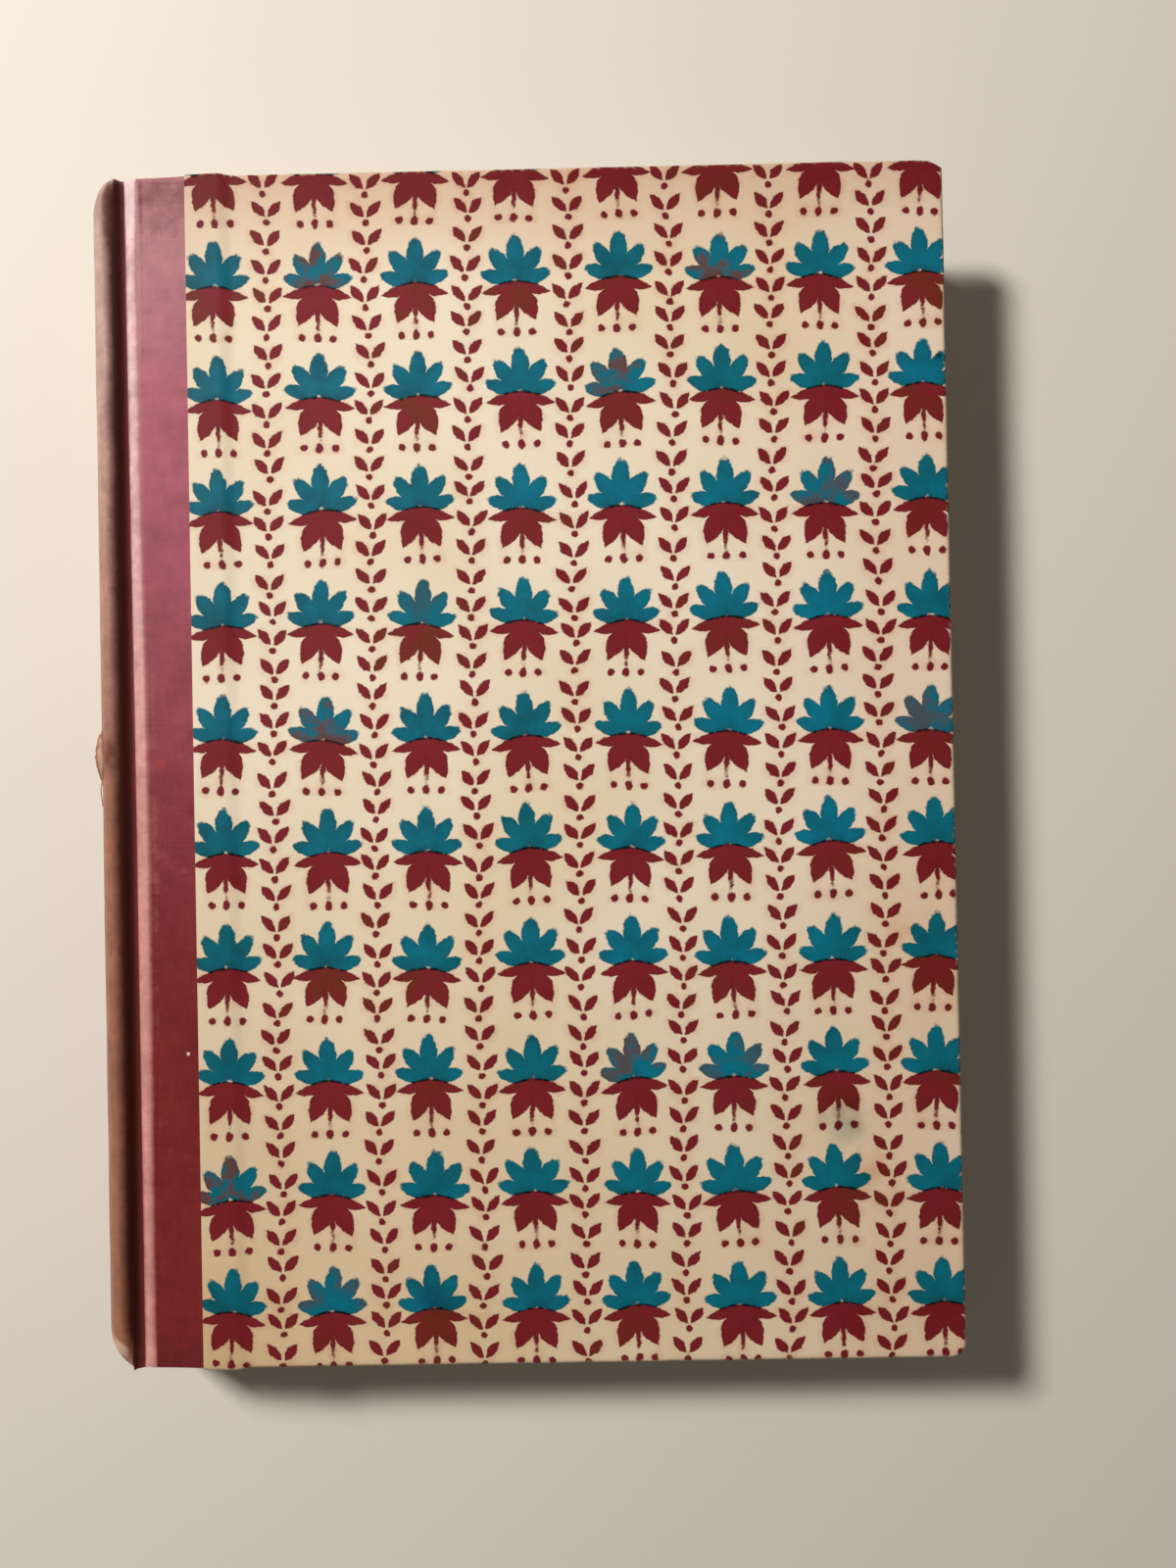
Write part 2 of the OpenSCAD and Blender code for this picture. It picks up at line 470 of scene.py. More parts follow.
@dataclass(frozen=True)
class BlockPrint:
    """A traditional block-print repeat: a palmette over spread leaves, with garlands of petals between."""

    cell_w: float = 19.3
    cell_h: float = 21.8
    start_x: float = -11.35
    start_y: float = 5.6
    petal: Blob = Blob(1.78, 4.2, 4.6)
    petal_fan: Fan = Fan(0.0, math.radians(37), 2, 0.11)
    leaf: Blob = Blob(1.9, 4.3, 4.4)
    leaf_fan: Fan = Fan(math.radians(25), math.radians(45), 1, 0.2)
    leaf_start: float = 0.4
    stem: Blob = Blob(0.55, 4.2, -4.0)
    calyx: Blob = Blob(2.9, 1.3, 0.1)
    foot_bend: float = 0.055
    foot_teal: float = 0.05
    foot_maroon: float = -0.42
    dots_down: float = 9.75
    side_dot_out: float = 2.9
    side_dot: Blob = Blob(0.72, 0.72)
    middle_dot: Blob = Blob(0.72, 0.95)
    sprig_rows: float = 4.0
    sprig_down: float = 1.0
    sprig: Blob = Blob(0.92, 2.0, 2.4)
    sprig_fan: Fan = Fan(math.radians(40))
    sprig_dot_down: float = 1.75
    sprig_dot: Blob = Blob(0.68, 0.68)
    shake_mm: float = 0.7
    drift_mm: float = 1.6
    tilt: float = 0.1

    def _oval(self, g: Graph, across: Any, along: Any, blob: Blob) -> Node:
        """Distance to an oval in a motif's own frame.

        Args:
            g: Node tree.
            across: Coordinate across the oval.
            along: Coordinate along it.
            blob: Its size.

        Returns:
            Node for the distance in millimetres, negative inside.
        """
        a = g.add("Math", (across, 1 / blob.width), operation="MULTIPLY")
        b = g.add("Math", (along, 1 / blob.half, -blob.middle / blob.half), operation="MULTIPLY_ADD")
        ring = g.add("VectorMath", (g.add("CombineXYZ", (a, b)),), operation="LENGTH")
        return g.add("Math", (ring, blob.width, -blob.width), operation="MULTIPLY_ADD")

    def _lens(self, g: Graph, across: Any, along: Any, blob: Blob) -> Node:
        """Distance to a pointed leaf in a motif's own frame.

        Args:
            g: Node tree.
            across: Coordinate across the leaf.
            along: Coordinate along it.
            blob: Its size.

        Returns:
            Node for the distance in millimetres, negative inside.
        """
        b = g.add("Math", (along, 1 / blob.half, -blob.middle / blob.half), operation="MULTIPLY_ADD")
        taper = g.add("Math", (b, b), operation="MULTIPLY")
        taper = g.add("Math", (taper, blob.width, -blob.width), operation="MULTIPLY_ADD")
        side = g.add("Math", (across,), operation="ABSOLUTE")
        return g.add("Math", (side, taper), operation="ADD")

    def _fold(self, g: Graph, x: Any, y: Any, fan: Fan) -> tuple[Node, Node]:
        """Folds the plane into the frame of the nearest petal of a fan.

        Args:
            g: Node tree.
            x: Coordinate sideways.
            y: Coordinate in the direction of the fan.
            fan: How the petals lie about the point.

        Returns:
            Nodes for the coordinates across and along the petal.
        """
        angle = g.add("Math", (x, y), operation="ARCTAN2")
        angle = g.add("Math", (angle, -fan.turn), operation="ADD")
        petal = g.add("Math", (angle, 1 / fan.step), operation="MULTIPLY")
        petal = g.add("Clamp", (g.add("Math", (petal,), operation="ROUND"), 0.0, float(fan.last)))
        offset = g.add("Math", (petal, -fan.step, angle), operation="MULTIPLY_ADD")
        reach = g.add("VectorMath", (g.add("CombineXYZ", (x, y)),), operation="LENGTH")
        size = g.add("Math", (petal, -fan.shrink, 1.0), operation="MULTIPLY_ADD")
        reach = g.add("Math", (reach, size), operation="DIVIDE")
        across = g.add("Math", (reach, g.add("Math", (offset,), operation="SINE")), operation="MULTIPLY")
        along = g.add("Math", (reach, g.add("Math", (offset,), operation="COSINE")), operation="MULTIPLY")
        return across, along

    def _cell(self, g: Graph, cells: Any, rows: float) -> tuple[Node, NodeSocket]:
        """Local place in each cell, shaken a little as a hand-laid block is.

        Args:
            g: Node tree.
            cells: Place counted in cells.
            rows: Rows of motifs to a cell.

        Returns:
            Node for the local place from the motif's middle, and socket for its chance colour.
        """
        part = g.add("VectorMath", (cells, (1.0, rows, 0.0)), operation="MULTIPLY")
        toss = g.add("TexWhiteNoise", (g.add("VectorMath", (part,), operation="FLOOR"),)).outputs["Color"]
        local = g.add("VectorMath", (part,), operation="FRACTION")
        local = g.add("VectorMath", (local, (0.5, 0.5, 0.0)), operation="SUBTRACT")
        local = g.add("VectorMath", (local, (self.cell_w, self.cell_h / rows, 0.0)), operation="MULTIPLY")
        nudge = g.add("VectorMath", (toss, (0.5, 0.5, 0.5)), operation="SUBTRACT")
        shake = (self.shake_mm, self.shake_mm, 0.0)
        return g.add("VectorMath", (nudge, shake, local), operation="MULTIPLY_ADD"), toss

    def fields(self, g: Graph, lay: Node) -> tuple[Node, Node, Node]:
        """Draws the repeat.

        Args:
            g: Node tree.
            lay: Unfolded place on the paper.

        Returns:
            Distances to the teal and the maroon ink, and three chance values for each motif.
        """
        drift = g.add("TexNoise", {"Vector": lay, "Scale": 0.05, "Detail": 1.0}).outputs["Color"]
        drift = g.add("VectorMath", (drift, (0.5, 0.5, 0.5)), operation="SUBTRACT")
        shift = (self.drift_mm, self.drift_mm, 0.0)
        place = g.add("VectorMath", (drift, shift, lay), operation="MULTIPLY_ADD")
        scale = (1 / self.cell_w, 1 / self.cell_h, 0.0)
        start = (self.start_x / self.cell_w, self.start_y / self.cell_h, 0.0)
        cells = g.add("VectorMath", (place, scale, start), operation="MULTIPLY_ADD")
        local, toss = self._cell(g, cells, 1.0)
        chance = g.add("SeparateXYZ", (toss,))
        tilt = g.add("Math", (chance.outputs["Z"], self.tilt, -self.tilt / 2), operation="MULTIPLY_ADD")
        local = g.add("VectorRotate", {"Vector": local, "Angle": tilt}, rotation_type="Z_AXIS")
        x, y, _ = g.add("SeparateXYZ", (local,)).outputs
        x = g.add("Math", (x,), operation="ABSOLUTE")
        petals = self._oval(g, *self._fold(g, x, y, self.petal_fan), self.petal)
        # The two blocks overlap by a hair along the arched foot of the palmette, where the inks print dark.
        foot = g.add("Math", (x, x), operation="MULTIPLY")
        foot = g.add("Math", (foot, self.foot_bend, y), operation="MULTIPLY_ADD")
        above = g.add("Math", (self.foot_teal, foot), operation="SUBTRACT")
        teal = g.add("Math", (petals, above), operation="MAXIMUM")
        below = g.add("Math", (foot, self.foot_maroon), operation="ADD")
        maroon = g.add("Math", (self._plant(g, x, y), below), operation="MAXIMUM")
        maroon = g.add("Math", (maroon, self._dots(g, x, y)), operation="MINIMUM")
        maroon = g.add("Math", (maroon, self._garland(g, cells)), operation="MINIMUM")
        return teal, maroon, chance

    def _plant(self, g: Graph, x: Any, y: Any) -> Node:
        """Distance to the leaves, the stem and the calyx under the palmette.

        Args:
            g: Node tree.
            x: Distance from the motif's axis.
            y: Height in the motif.

        Returns:
            Node for the distance in millimetres, negative inside.
        """
        down = g.add("Math", (self.leaf_start, y), operation="SUBTRACT")
        leaf = self._lens(g, *self._fold(g, x, down, self.leaf_fan), self.leaf)
        stem = self._oval(g, x, y, self.stem)
        calyx = self._oval(g, x, y, self.calyx)
        return g.add("Math", (leaf, g.add("Math", (stem, calyx), operation="MINIMUM")), operation="MINIMUM")

    def _dots(self, g: Graph, x: Any, y: Any) -> Node:
        """Distance to the three dots at the foot of the motif.

        Args:
            g: Node tree.
            x: Distance from the motif's axis.
            y: Height in the motif.

        Returns:
            Node for the distance in millimetres, negative inside.
        """
        low = g.add("Math", (y, self.dots_down), operation="ADD")
        out = g.add("Math", (x, -self.side_dot_out), operation="ADD")
        pair = self._oval(g, out, low, self.side_dot)
        return g.add("Math", (pair, self._oval(g, x, low, self.middle_dot)), operation="MINIMUM")

    def _garland(self, g: Graph, cells: Node) -> Node:
        """Distance to the pairs of petals and the dots between the columns.

        Args:
            g: Node tree.
            cells: Place counted in cells.

        Returns:
            Node for the distance in millimetres, negative inside.
        """
        between = g.add("VectorMath", (cells, (0.5, 0.0, 0.0)), operation="ADD")
        local, _ = self._cell(g, between, self.sprig_rows)
        x, y, _ = g.add("SeparateXYZ", (local,)).outputs
        x = g.add("Math", (x,), operation="ABSOLUTE")
        low = g.add("Math", (y, self.sprig_down), operation="ADD")
        petals = self._lens(g, *self._fold(g, x, low, self.sprig_fan), self.sprig)
        low = g.add("Math", (y, self.sprig_dot_down), operation="ADD")
        return g.add("Math", (petals, self._oval(g, x, low, self.sprig_dot)), operation="MINIMUM")


@dataclass(frozen=True)
class Stain:
    """A soft discoloured spot on the printed paper."""

    x: float
    y: float
    radius: float
    tint: str
    strength: float


@dataclass(frozen=True)
class PrintedPaper:
    """Block-printed side paper: inks sunk into an aged uncoated sheet, so it is matt with soft edges."""

    cream: str = "#f0e2cb"
    toned: str = "#e7d4b5"
    blush: str = "#e09c8c"
    # Brown of age; towards the tail it also stands for painted shade.
    browned: str = "#dec49c"
    teal: str = "#027c98"
    deep_teal: str = "#04586a"
    maroon: str = "#7c2029"
    rust: str = "#6f3521"
    bare: str = "#b8a283"
    roughness: float = 0.5
    sheen: float = 0.1
    design: BlockPrint = field(default_factory=BlockPrint)
    # Ageing along or across the sheet, in millimetres; towards the tail the browning is partly painted
    # shade, and the darkening beside the joint and at the head is painted shade.
    head_flush: Ramp = (92.0, 113.0, 0.0, 0.3)
    fore_flush: Ramp = (110.0, 158.0, 0.0, 0.2)
    tail_brown_and_shade: Ramp = (-10.0, -105.0, 0.0, 0.75)
    tail_shade_across: Ramp = (20.0, 170.0, 1.0, 0.2)
    head_brown: Ramp = (60.0, 112.0, 0.0, 0.2)
    joint_shade: Ramp = (18.0, 48.0, 0.94, 1.0)
    head_shade: Ramp = (94.0, 113.0, 1.0, 0.9)
    # Ink and wear, by the distance to an outline or to the fold.
    bleed: Ramp = (1.5, 0.0, 0.0, 0.3)
    ink_edge: Ramp = (0.16, -0.16, 0.0, 1.0)
    ink_rim: Ramp = (-0.55, -0.15, 1.0, 0.84)
    fold_rub: Ramp = (0.7, 0.1, 0.0, 1.0)
    # The block carried more ink at the joint: change of depth for each millimetre across and up.
    carried: Plane = (-0.0016, 0.0004)
    stains: tuple[Stain, ...] = (
        Stain(138.0, -69.0, 6.5, "#8fb9c4", 0.55),
        Stain(60.4, -101.5, 5.0, "#9a95c6", 0.5),
        Stain(143.0, -78.5, 6.0, "#e8a070", 0.4),
        Stain(151.0, -33.0, 5.0, "#e8a070", 0.3),
        Stain(159.0, 76.4, 1.2, "#2c1a18", 0.85),
    )

    def material(self) -> Material:
        """Makes the material from the unfolded coordinates of the sheet.

        Returns:
            The new material.
        """
        g = Graph.surface("block_printed_paper", self.roughness, self.sheen)
        lay = g.add("Attribute", attribute_name=LAY).outputs["Vector"]
        flat = g.add("VectorMath", (lay, (1.0, 1.0, 0.0)), operation="MULTIPLY")
        teal, maroon, chance = self.design.fields(g, flat)
        # Ink that spread in the fibres: its outline strays by about 0.15 mm and fades over 0.3 mm.
        ragged = g.add("TexNoise", {"Vector": flat, "Scale": 0.9, "Detail": 3.0, "Roughness": 0.6})
        stray = g.add("Math", (ragged, 0.9, -0.45), operation="MULTIPLY_ADD")
        teal = g.add("Math", (teal, stray), operation="ADD")
        maroon = g.add("Math", (maroon, stray), operation="ADD")
        blotch = g.add("TexNoise", {"Vector": flat, "Scale": 0.16, "Detail": 3.0, "Roughness": 0.6})
        grain = g.add("TexNoise", {"Vector": flat, "Scale": 4.0, "Detail": 2.0})
        body = self._ground(g, flat, blotch, maroon)
        body = self._ink(g, body, teal, self._teal_tone(g, flat, blotch, chance), grain)
        body = self._ink(g, body, maroon, self._maroon_tone(g, blotch, chance), grain)
        body = self._aged(g, body, flat, g.add("Math", (teal, maroon), operation="MINIMUM"))
        for stain in self.stains:
            body = self._stained(g, body, flat, stain)
        g.feed("Base Color", g.add("MixRGB", (self._worn(g, lay, ragged), body, linear(self.bare))))
        fibre = g.add("TexNoise", {"Vector": flat, "Scale": 2.2, "Detail": 4.0, "Roughness": 0.65})
        gloss = (fibre, 0.0, 1.0, self.roughness - 0.06, self.roughness + 0.14)
        g.feed("Roughness", g.add("MapRange", gloss))
        g.feed("Normal", g.add("Bump", {"Height": fibre, "Strength": 0.18, "Distance": 0.00008}))
        return g.material

    def _ground(self, g: Graph, flat: Any, blotch: Any, maroon: Any) -> Node:
        """Aged cream paper, flushed where maroon ink has bled into it.

        Args:
            g: Node tree.
            flat: Unfolded place on the sheet.
            blotch: Coarse noise.
            maroon: Distance to the maroon ink.

        Returns:
            Node for the colour.
        """
        cloudy = g.add("TexNoise", {"Vector": flat, "Scale": 0.018, "Detail": 3.0})
        aged = g.add("MapRange", (cloudy, 0.35, 0.68))
        base = g.add("MixRGB", (aged, linear(self.cream), linear(self.toned)))
        near = g.add("MapRange", (maroon, *self.bleed))
        flush = g.add("Math", (near, g.add("MapRange", (blotch, 0.38, 0.62))), operation="MULTIPLY")
        x, y, _ = g.add("SeparateXYZ", (flat,)).outputs
        head, fore = g.add("MapRange", (y, *self.head_flush)), g.add("MapRange", (x, *self.fore_flush))
        flush = g.add("Math", (flush, g.add("Math", (head, fore), operation="MAXIMUM")), operation="ADD")
        return g.add("MixRGB", (flush, base, linear(self.blush)), blend_type="MULTIPLY")

    def _aged(self, g: Graph, under: Any, flat: Any, ink: Any) -> Node:
        """Browns the sheet from its ends, towards the tail partly as painted shade, and darkens it beside
        the joint and at the head with painted shade; ink hides most of the browning.

        Args:
            g: Node tree.
            under: Colour of the fresh sheet.
            flat: Unfolded place on it.
            ink: Distance to the nearest ink.

        Returns:
            Node for the colour.
        """
        x, y, _ = g.add("SeparateXYZ", (flat,)).outputs
        # Towards the tail, most near the joint, the browning is partly painted shade.
        tail, far = g.add("MapRange", (y, *self.tail_brown_and_shade)), g.add("MapRange", (x, *self.tail_shade_across))
        tail = g.add("Math", (tail, far), operation="MULTIPLY")
        brown = g.add("Math", (tail, g.add("MapRange", (y, *self.head_brown))), operation="MAXIMUM")
        brown = g.add("Math", (brown, g.add("MapRange", (ink, -0.16, 0.16, 0.3))), operation="MULTIPLY")
        aged = g.add("MixRGB", (brown, under, linear(self.browned)), blend_type="MULTIPLY")
        # Painted shade: darker beside the joint and at the head.
        by_joint, end = g.add("MapRange", (x, *self.joint_shade)), g.add("MapRange", (y, *self.head_shade))
        grey = g.add("Math", (by_joint, end), operation="MULTIPLY")
        return g.add("VectorMath", {0: aged, "Scale": grey}, operation="SCALE")

    def _teal_tone(self, g: Graph, flat: Any, blotch: Any, chance: Node) -> Node:
        """Teal that varies in depth, with a rusty cast on a few motifs.

        Args:
            g: Node tree.
            flat: Unfolded place on the sheet.
            blotch: Coarse noise.
            chance: Chance values of each motif.

        Returns:
            Node for the colour.
        """
        carried = g.add("VectorMath", (flat, (*self.carried, 0.0)), operation="DOT_PRODUCT")
        heavy = g.add("Math", (blotch, carried), operation="ADD")
        depth = g.add("MapRange", (heavy, 0.0, 0.62))
        tone = g.add("MixRGB", (depth, linear(self.teal), linear(self.deep_teal)))
        odd = g.add("MapRange", (chance.outputs["Y"], 0.86, 0.9, 0.0, 0.7))
        odd = g.add("Math", (odd, g.add("MapRange", (blotch, 0.46, 0.56))), operation="MULTIPLY")
        return g.add("MixRGB", (odd, tone, linear(self.rust)))

    def _maroon_tone(self, g: Graph, blotch: Any, chance: Node) -> Node:
        """Maroon that turns rusty in some motifs.

        Args:
            g: Node tree.
            blotch: Coarse noise.
            chance: Chance values of each motif.

        Returns:
            Node for the colour.
        """
        odd = g.add("MapRange", (chance.outputs["X"], 0.45, 1.0, 0.0, 0.75))
        odd = g.add("Math", (odd, g.add("MapRange", (blotch, 0.42, 0.6))), operation="MULTIPLY")
        return g.add("MixRGB", (odd, linear(self.maroon), linear(self.rust)))

    def _ink(self, g: Graph, under: Any, edge: Any, tone: Any, grain: Any) -> Node:
        """Lays one ink over what is under it.

        Args:
            g: Node tree.
            under: Colour under the ink.
            edge: Distance to the ink's outline.
            tone: Colour of the ink on the paper.
            grain: Fine noise of the paper's fibres.

        Returns:
            Node for the colour, darker where inks overlap.
        """
        cover = g.add("MapRange", (edge, *self.ink_edge), interpolation_type="SMOOTHSTEP")
        thin = g.add("MapRange", (grain, 0.3, 0.5, 0.985, 1.0))
        cover = g.add("Math", (cover, thin), operation="MULTIPLY")
        clear = g.add("VectorMath", (tone, linear(self.cream)[:3]), operation="DIVIDE")
        # A block squeezes its ink out to the rim, which prints a little darker.
        rim = g.add("MapRange", (edge, *self.ink_rim))
        clear = g.add("VectorMath", {0: clear, "Scale": rim}, operation="SCALE")
        return g.add("MixRGB", (cover, under, clear), blend_type="MULTIPLY")

    def _stained(self, g: Graph, under: Any, flat: Any, stain: Stain) -> Node:
        """Adds one soft stain.

        Args:
            g: Node tree.
            under: Colour under the stain.
            flat: Unfolded place on the sheet.
            stain: The stain.

        Returns:
            Node for the colour.
        """
        reach = g.add("VectorMath", (flat, (stain.x, stain.y, 0.0)), operation="DISTANCE")
        cloud = g.add("TexNoise", {"Vector": flat, "Scale": 1.5 / stain.radius, "Detail": 2.0})
        reach = g.add("Math", (cloud, stain.radius * 1.6, reach), operation="MULTIPLY_ADD")
        edge = (stain.radius * 1.8, stain.radius * 0.7, 0.0, stain.strength)
        mask = g.add("MapRange", (reach, *edge), interpolation_type="SMOOTHSTEP")
        return g.add("MixRGB", (mask, under, linear(stain.tint)), blend_type="MULTIPLY")

    def _worn(self, g: Graph, lay: Any, ragged: Any) -> Node:
        """Where the fold over the board's edge is worn through the ink.

        Args:
            g: Node tree.
            lay: Unfolded place, with the distance to the fold as its third part.
            ragged: Noise that breaks up the rubbing.

        Returns:
            Node for the share of bare paper.
        """
        fold = g.add("Math", (g.add("SeparateXYZ", (lay,)).outputs["Z"],), operation="ABSOLUTE")
        near = g.add("MapRange", (fold, *self.fold_rub), interpolation_type="SMOOTHSTEP")
        return g.add("Math", (near, g.add("MapRange", (ragged, 0.5, 0.66, 0.0, 0.8))), operation="MULTIPLY")


def threads(g: Graph, axes: Sequence[Any], step_mm: float) -> list[Node]:
    """Waves over one or more directions, one to each thread.

    Args:
        g: Node tree.
        axes: Coordinates that the threads follow each other along.
        step_mm: Distance between threads.

    Returns:
        A node for each direction, between -1 and 1.
    """
    turns = 2 * math.pi / step_mm
    waves = [g.add("Math", (axis, turns), operation="MULTIPLY") for axis in axes]
    return [g.add("Math", (wave,), operation="SINE") for wave in waves]


def stretched(g: Graph, place: Any, stretch: Point, detail: float) -> Node:
    """Noise drawn out along threads or leaves, by its features to the millimetre each way."""
    place = g.add("VectorMath", (place, stretch), operation="MULTIPLY")
    return g.add("TexNoise", {"Vector": place, "Scale": 1.0, "Detail": detail})


@dataclass(frozen=True)
class BookCloth:
    """Starch-filled calico: a fine even weave with a dull sheen, faded where light and hands reach it."""

    dye: str = "#782525"
    deep: str = "#6c2022"
    # Pale wine and dusty pink towards the head: sun fade, and partly a painted sheen.
    bloomed_and_sheen: str = "#a04f60"
    dusty: str = "#a67276"
    faded: str = "#a0655f"
    browned: str = "#986850"
    # Paler spine towards the head: sun fade, and partly a painted highlight on the spine's round.
    paled_and_lit: str = "#b6998b"
    # Pale of the joint's edge: worn cloth and a painted highlight, whiter towards the head.
    rubbed_and_lit: str = "#d2968d"
    scuffed_and_lit: str = "#e9cdd0"
    # Bare spine cloth, also the colour of the painted highlight at the tail spot.
    bared_and_lit: str = "#cfae98"
    # Dark of dirt, and of painted shade in the groove and over the shoulder.
    soiled_and_shaded: str = "#481f15"
    blotted: str = "#a5383a"
    specked: str = "#dccfc9"
    thread_mm: float = 0.45
    roughness: float = 0.45
    soiled_and_shaded_roughness: float = 0.85
    sheen: float = 0.15
    slub: Point = (2.2, 0.12, 0.0)
    streak: Point = (0.1, 2.0, 0.0)
    # Changes towards the head, in millimetres from the middle of the spine: sun fade, and partly painted
    # sheen and painted highlight, which grow towards the head.
    bloom_and_sheen: Ramp = (-55.0, 85.0, 0.0, 1.0)
    dust: Ramp = (72.0, 100.0, 0.0, 0.75)
    pale: Ramp = (-30.0, 105.0, 0.0, 1.0)
    # The start of the spine, across the joint.
    spine: Ramp = (-0.6, 1.0, 0.0, 1.0)
    # Changes by how worn the cloth is: above zero it fades and wears bare, and on the joint's edge that
    # pale is also a painted highlight; below zero it is darkened by dirt, and in the groove and over the
    # shoulder that darkening is painted shade.
    fade: Ramp = (0.1, 0.6, 0.0, 0.9)
    bare: Ramp = (0.6, 1.2, 0.0, 0.8)
    soil_and_shade: Ramp = (-0.15, -0.7, 0.0, 0.85)
    mottle: Ramp = (0.9, 1.5, 0.84, 1.14)
    handled: float = 0.34
    sunned: float = 0.82
    blot_at: Plane = (-9.1, 1.5)
    blot_edge: Ramp = (1.6, 0.3, 0.0, 0.6)
    speck_at: Plane = (-13.4, -54.1)
    speck_edge: Ramp = (0.42, 0.2, 0.0, 1.0)

    def material(self) -> Material:
        """Makes the material; the third unfolded coordinate says how worn the cloth is, and carries painted
        shade and painted highlight too.

        Returns:
            The new material.
        """
        g = Graph.surface("starched_book_cloth", self.roughness, self.sheen)
        lay = g.add("Attribute", attribute_name=LAY).outputs["Vector"]
        # The third unfolded coordinate is wear, which also carries painted shade below zero and painted
        # highlight on the joint's edge.
        x, y, wear = g.add("SeparateXYZ", (lay,)).outputs
        flat = g.add("VectorMath", (lay, (1.0, 1.0, 0.0)), operation="MULTIPLY")
        slubs = [stretched(g, flat, stretch, 3.0) for stretch in (self.slub, self.streak)]
        tone = g.add("Math", slubs, operation="ADD")
        cloud = g.add("TexNoise", {"Vector": flat, "Scale": 0.07, "Detail": 4.0, "Roughness": 0.6})
        dirt = g.add("TexNoise", {"Vector": flat, "Scale": 0.35, "Detail": 4.0, "Roughness": 0.65})
        ragged = g.add("Math", (dirt, 0.7, -0.35), operation="MULTIPLY_ADD")
        wear_and_light = g.add("Math", (wear, ragged), operation="ADD")
        spine = g.add("MapRange", (x, *self.spine))
        body = self._worn_and_lit(g, self._dye_and_sheen(g, y, tone, cloud), y, wear_and_light, spine)
        # The filler has worn out of the weave in patches and along threads, which shows as fine mottling.
        patchy = g.add("TexNoise", {"Vector": flat, "Scale": 0.16, "Detail": 4.0, "Roughness": 0.7})
        uneven = g.add("Math", (tone, 0.3), operation="MULTIPLY")
        uneven = g.add("Math", (patchy, 1.8, uneven), operation="MULTIPLY_ADD")
        mottle = g.add("MapRange", (uneven, *self.mottle))
        body = g.add("VectorMath", {0: body, "Scale": mottle}, operation="SCALE")
        # Hands have left dull brown clouds on the spine.
        handled = g.add("MapRange", (g.add("Math", (cloud, dirt), operation="ADD"), 0.95, 1.25))
        on_spine = g.add("Math", (spine, self.handled), operation="MULTIPLY")
        handled = g.add("Math", (handled, on_spine), operation="MULTIPLY")
        # Dirt, and painted shade in the groove and over the shoulder, darken the cloth where the wear is
        # below zero.
        soil_and_shade = g.add("MapRange", (wear_and_light, *self.soil_and_shade))
        for darkening in (handled, soil_and_shade):
            body = g.add("MixRGB", (darkening, body, linear(self.soiled_and_shaded)))
        near = g.add("VectorMath", (flat, (*self.blot_at, 0.0)), operation="DISTANCE")
        blot = g.add("MapRange", (near, *self.blot_edge), interpolation_type="SMOOTHSTEP")
        body = g.add("MixRGB", (blot, body, linear(self.blotted)))
        near = g.add("VectorMath", (flat, (*self.speck_at, 0.0)), operation="DISTANCE")
        body = g.add("MixRGB", (g.add("MapRange", (near, *self.speck_edge)), body, linear(self.specked)))
        g.feed("Base Color", body)
        g.feed("Roughness", g.add("MapRange", (soil_and_shade, 0.0, 1.0, self.roughness, self.soiled_and_shaded_roughness)))
        weave = g.add("Math", threads(g, (x, y), self.thread_mm), operation="MULTIPLY")
        relief = g.add("Math", (weave, 0.3, tone), operation="MULTIPLY_ADD")
        g.feed("Normal", g.add("Bump", {"Height": relief, "Strength": 0.13, "Distance": 0.00008}))
        return g.material

    def _dye_and_sheen(self, g: Graph, y: Any, tone: Any, cloud: Any) -> Node:
        """The dye, turned by light and air to a pale wine colour towards the head, dusty at its end; that
        paler, pinker head is partly a painted sheen.

        Args:
            g: Node tree.
            y: Place along the spine.
            tone: Noise along the threads.
            cloud: Coarse noise.

        Returns:
            Node for the colour.
        """
        depth = g.add("MapRange", (g.add("Math", (tone, cloud), operation="ADD"), 1.0, 2.0))
        body = g.add("MixRGB", (depth, linear(self.deep), linear(self.dye)))
        # Paler towards the head: sun fade, and partly painted sheen.
        up = g.add("MapRange", (y, *self.bloom_and_sheen), interpolation_type="SMOOTHSTEP")
        uneven = g.add("Math", (cloud, 1.2, 0.37), operation="MULTIPLY_ADD")
        bloom_and_sheen = g.add("Math", (up, uneven), operation="MULTIPLY", use_clamp=True)
        body = g.add("MixRGB", (bloom_and_sheen, body, linear(self.bloomed_and_sheen)))
        return g.add("MixRGB", (g.add("MapRange", (y, *self.dust)), body, linear(self.dusty)))

    def _worn_and_lit(self, g: Graph, body: Any, y: Any, wear_and_light: Any, spine: Any) -> Node:
        """Fades the cloth where it is worn and on the spine, and bares it where it is worn most; that pale
        on the joint's edge, on the spine's round and at the tail spot is also a painted highlight, whiter
        towards the head.

        Args:
            g: Node tree.
            body: Colour of the cloth.
            y: Place along the spine.
            wear_and_light: How worn it is; below zero dirt and painted shade, and on the joint's edge also
                painted highlight.
            spine: 1 on the spine, 0 on the board.

        Returns:
            Node for the colour.
        """
        # Towards the head the spine and the edge's highlight turn paler: sun fade, and partly painted
        # highlight.
        high = g.add("MapRange", (y, *self.pale), interpolation_type="SMOOTHSTEP")
        brown = g.add("MixRGB", (high, linear(self.browned), linear(self.paled_and_lit)))
        light = g.add("MixRGB", (spine, linear(self.faded), brown))
        sunned = g.add("Math", (spine, self.sunned), operation="MULTIPLY")
        faded = g.add("Math", (g.add("MapRange", (wear_and_light, *self.fade)), sunned), operation="MAXIMUM")
        body = g.add("MixRGB", (faded, body, light))
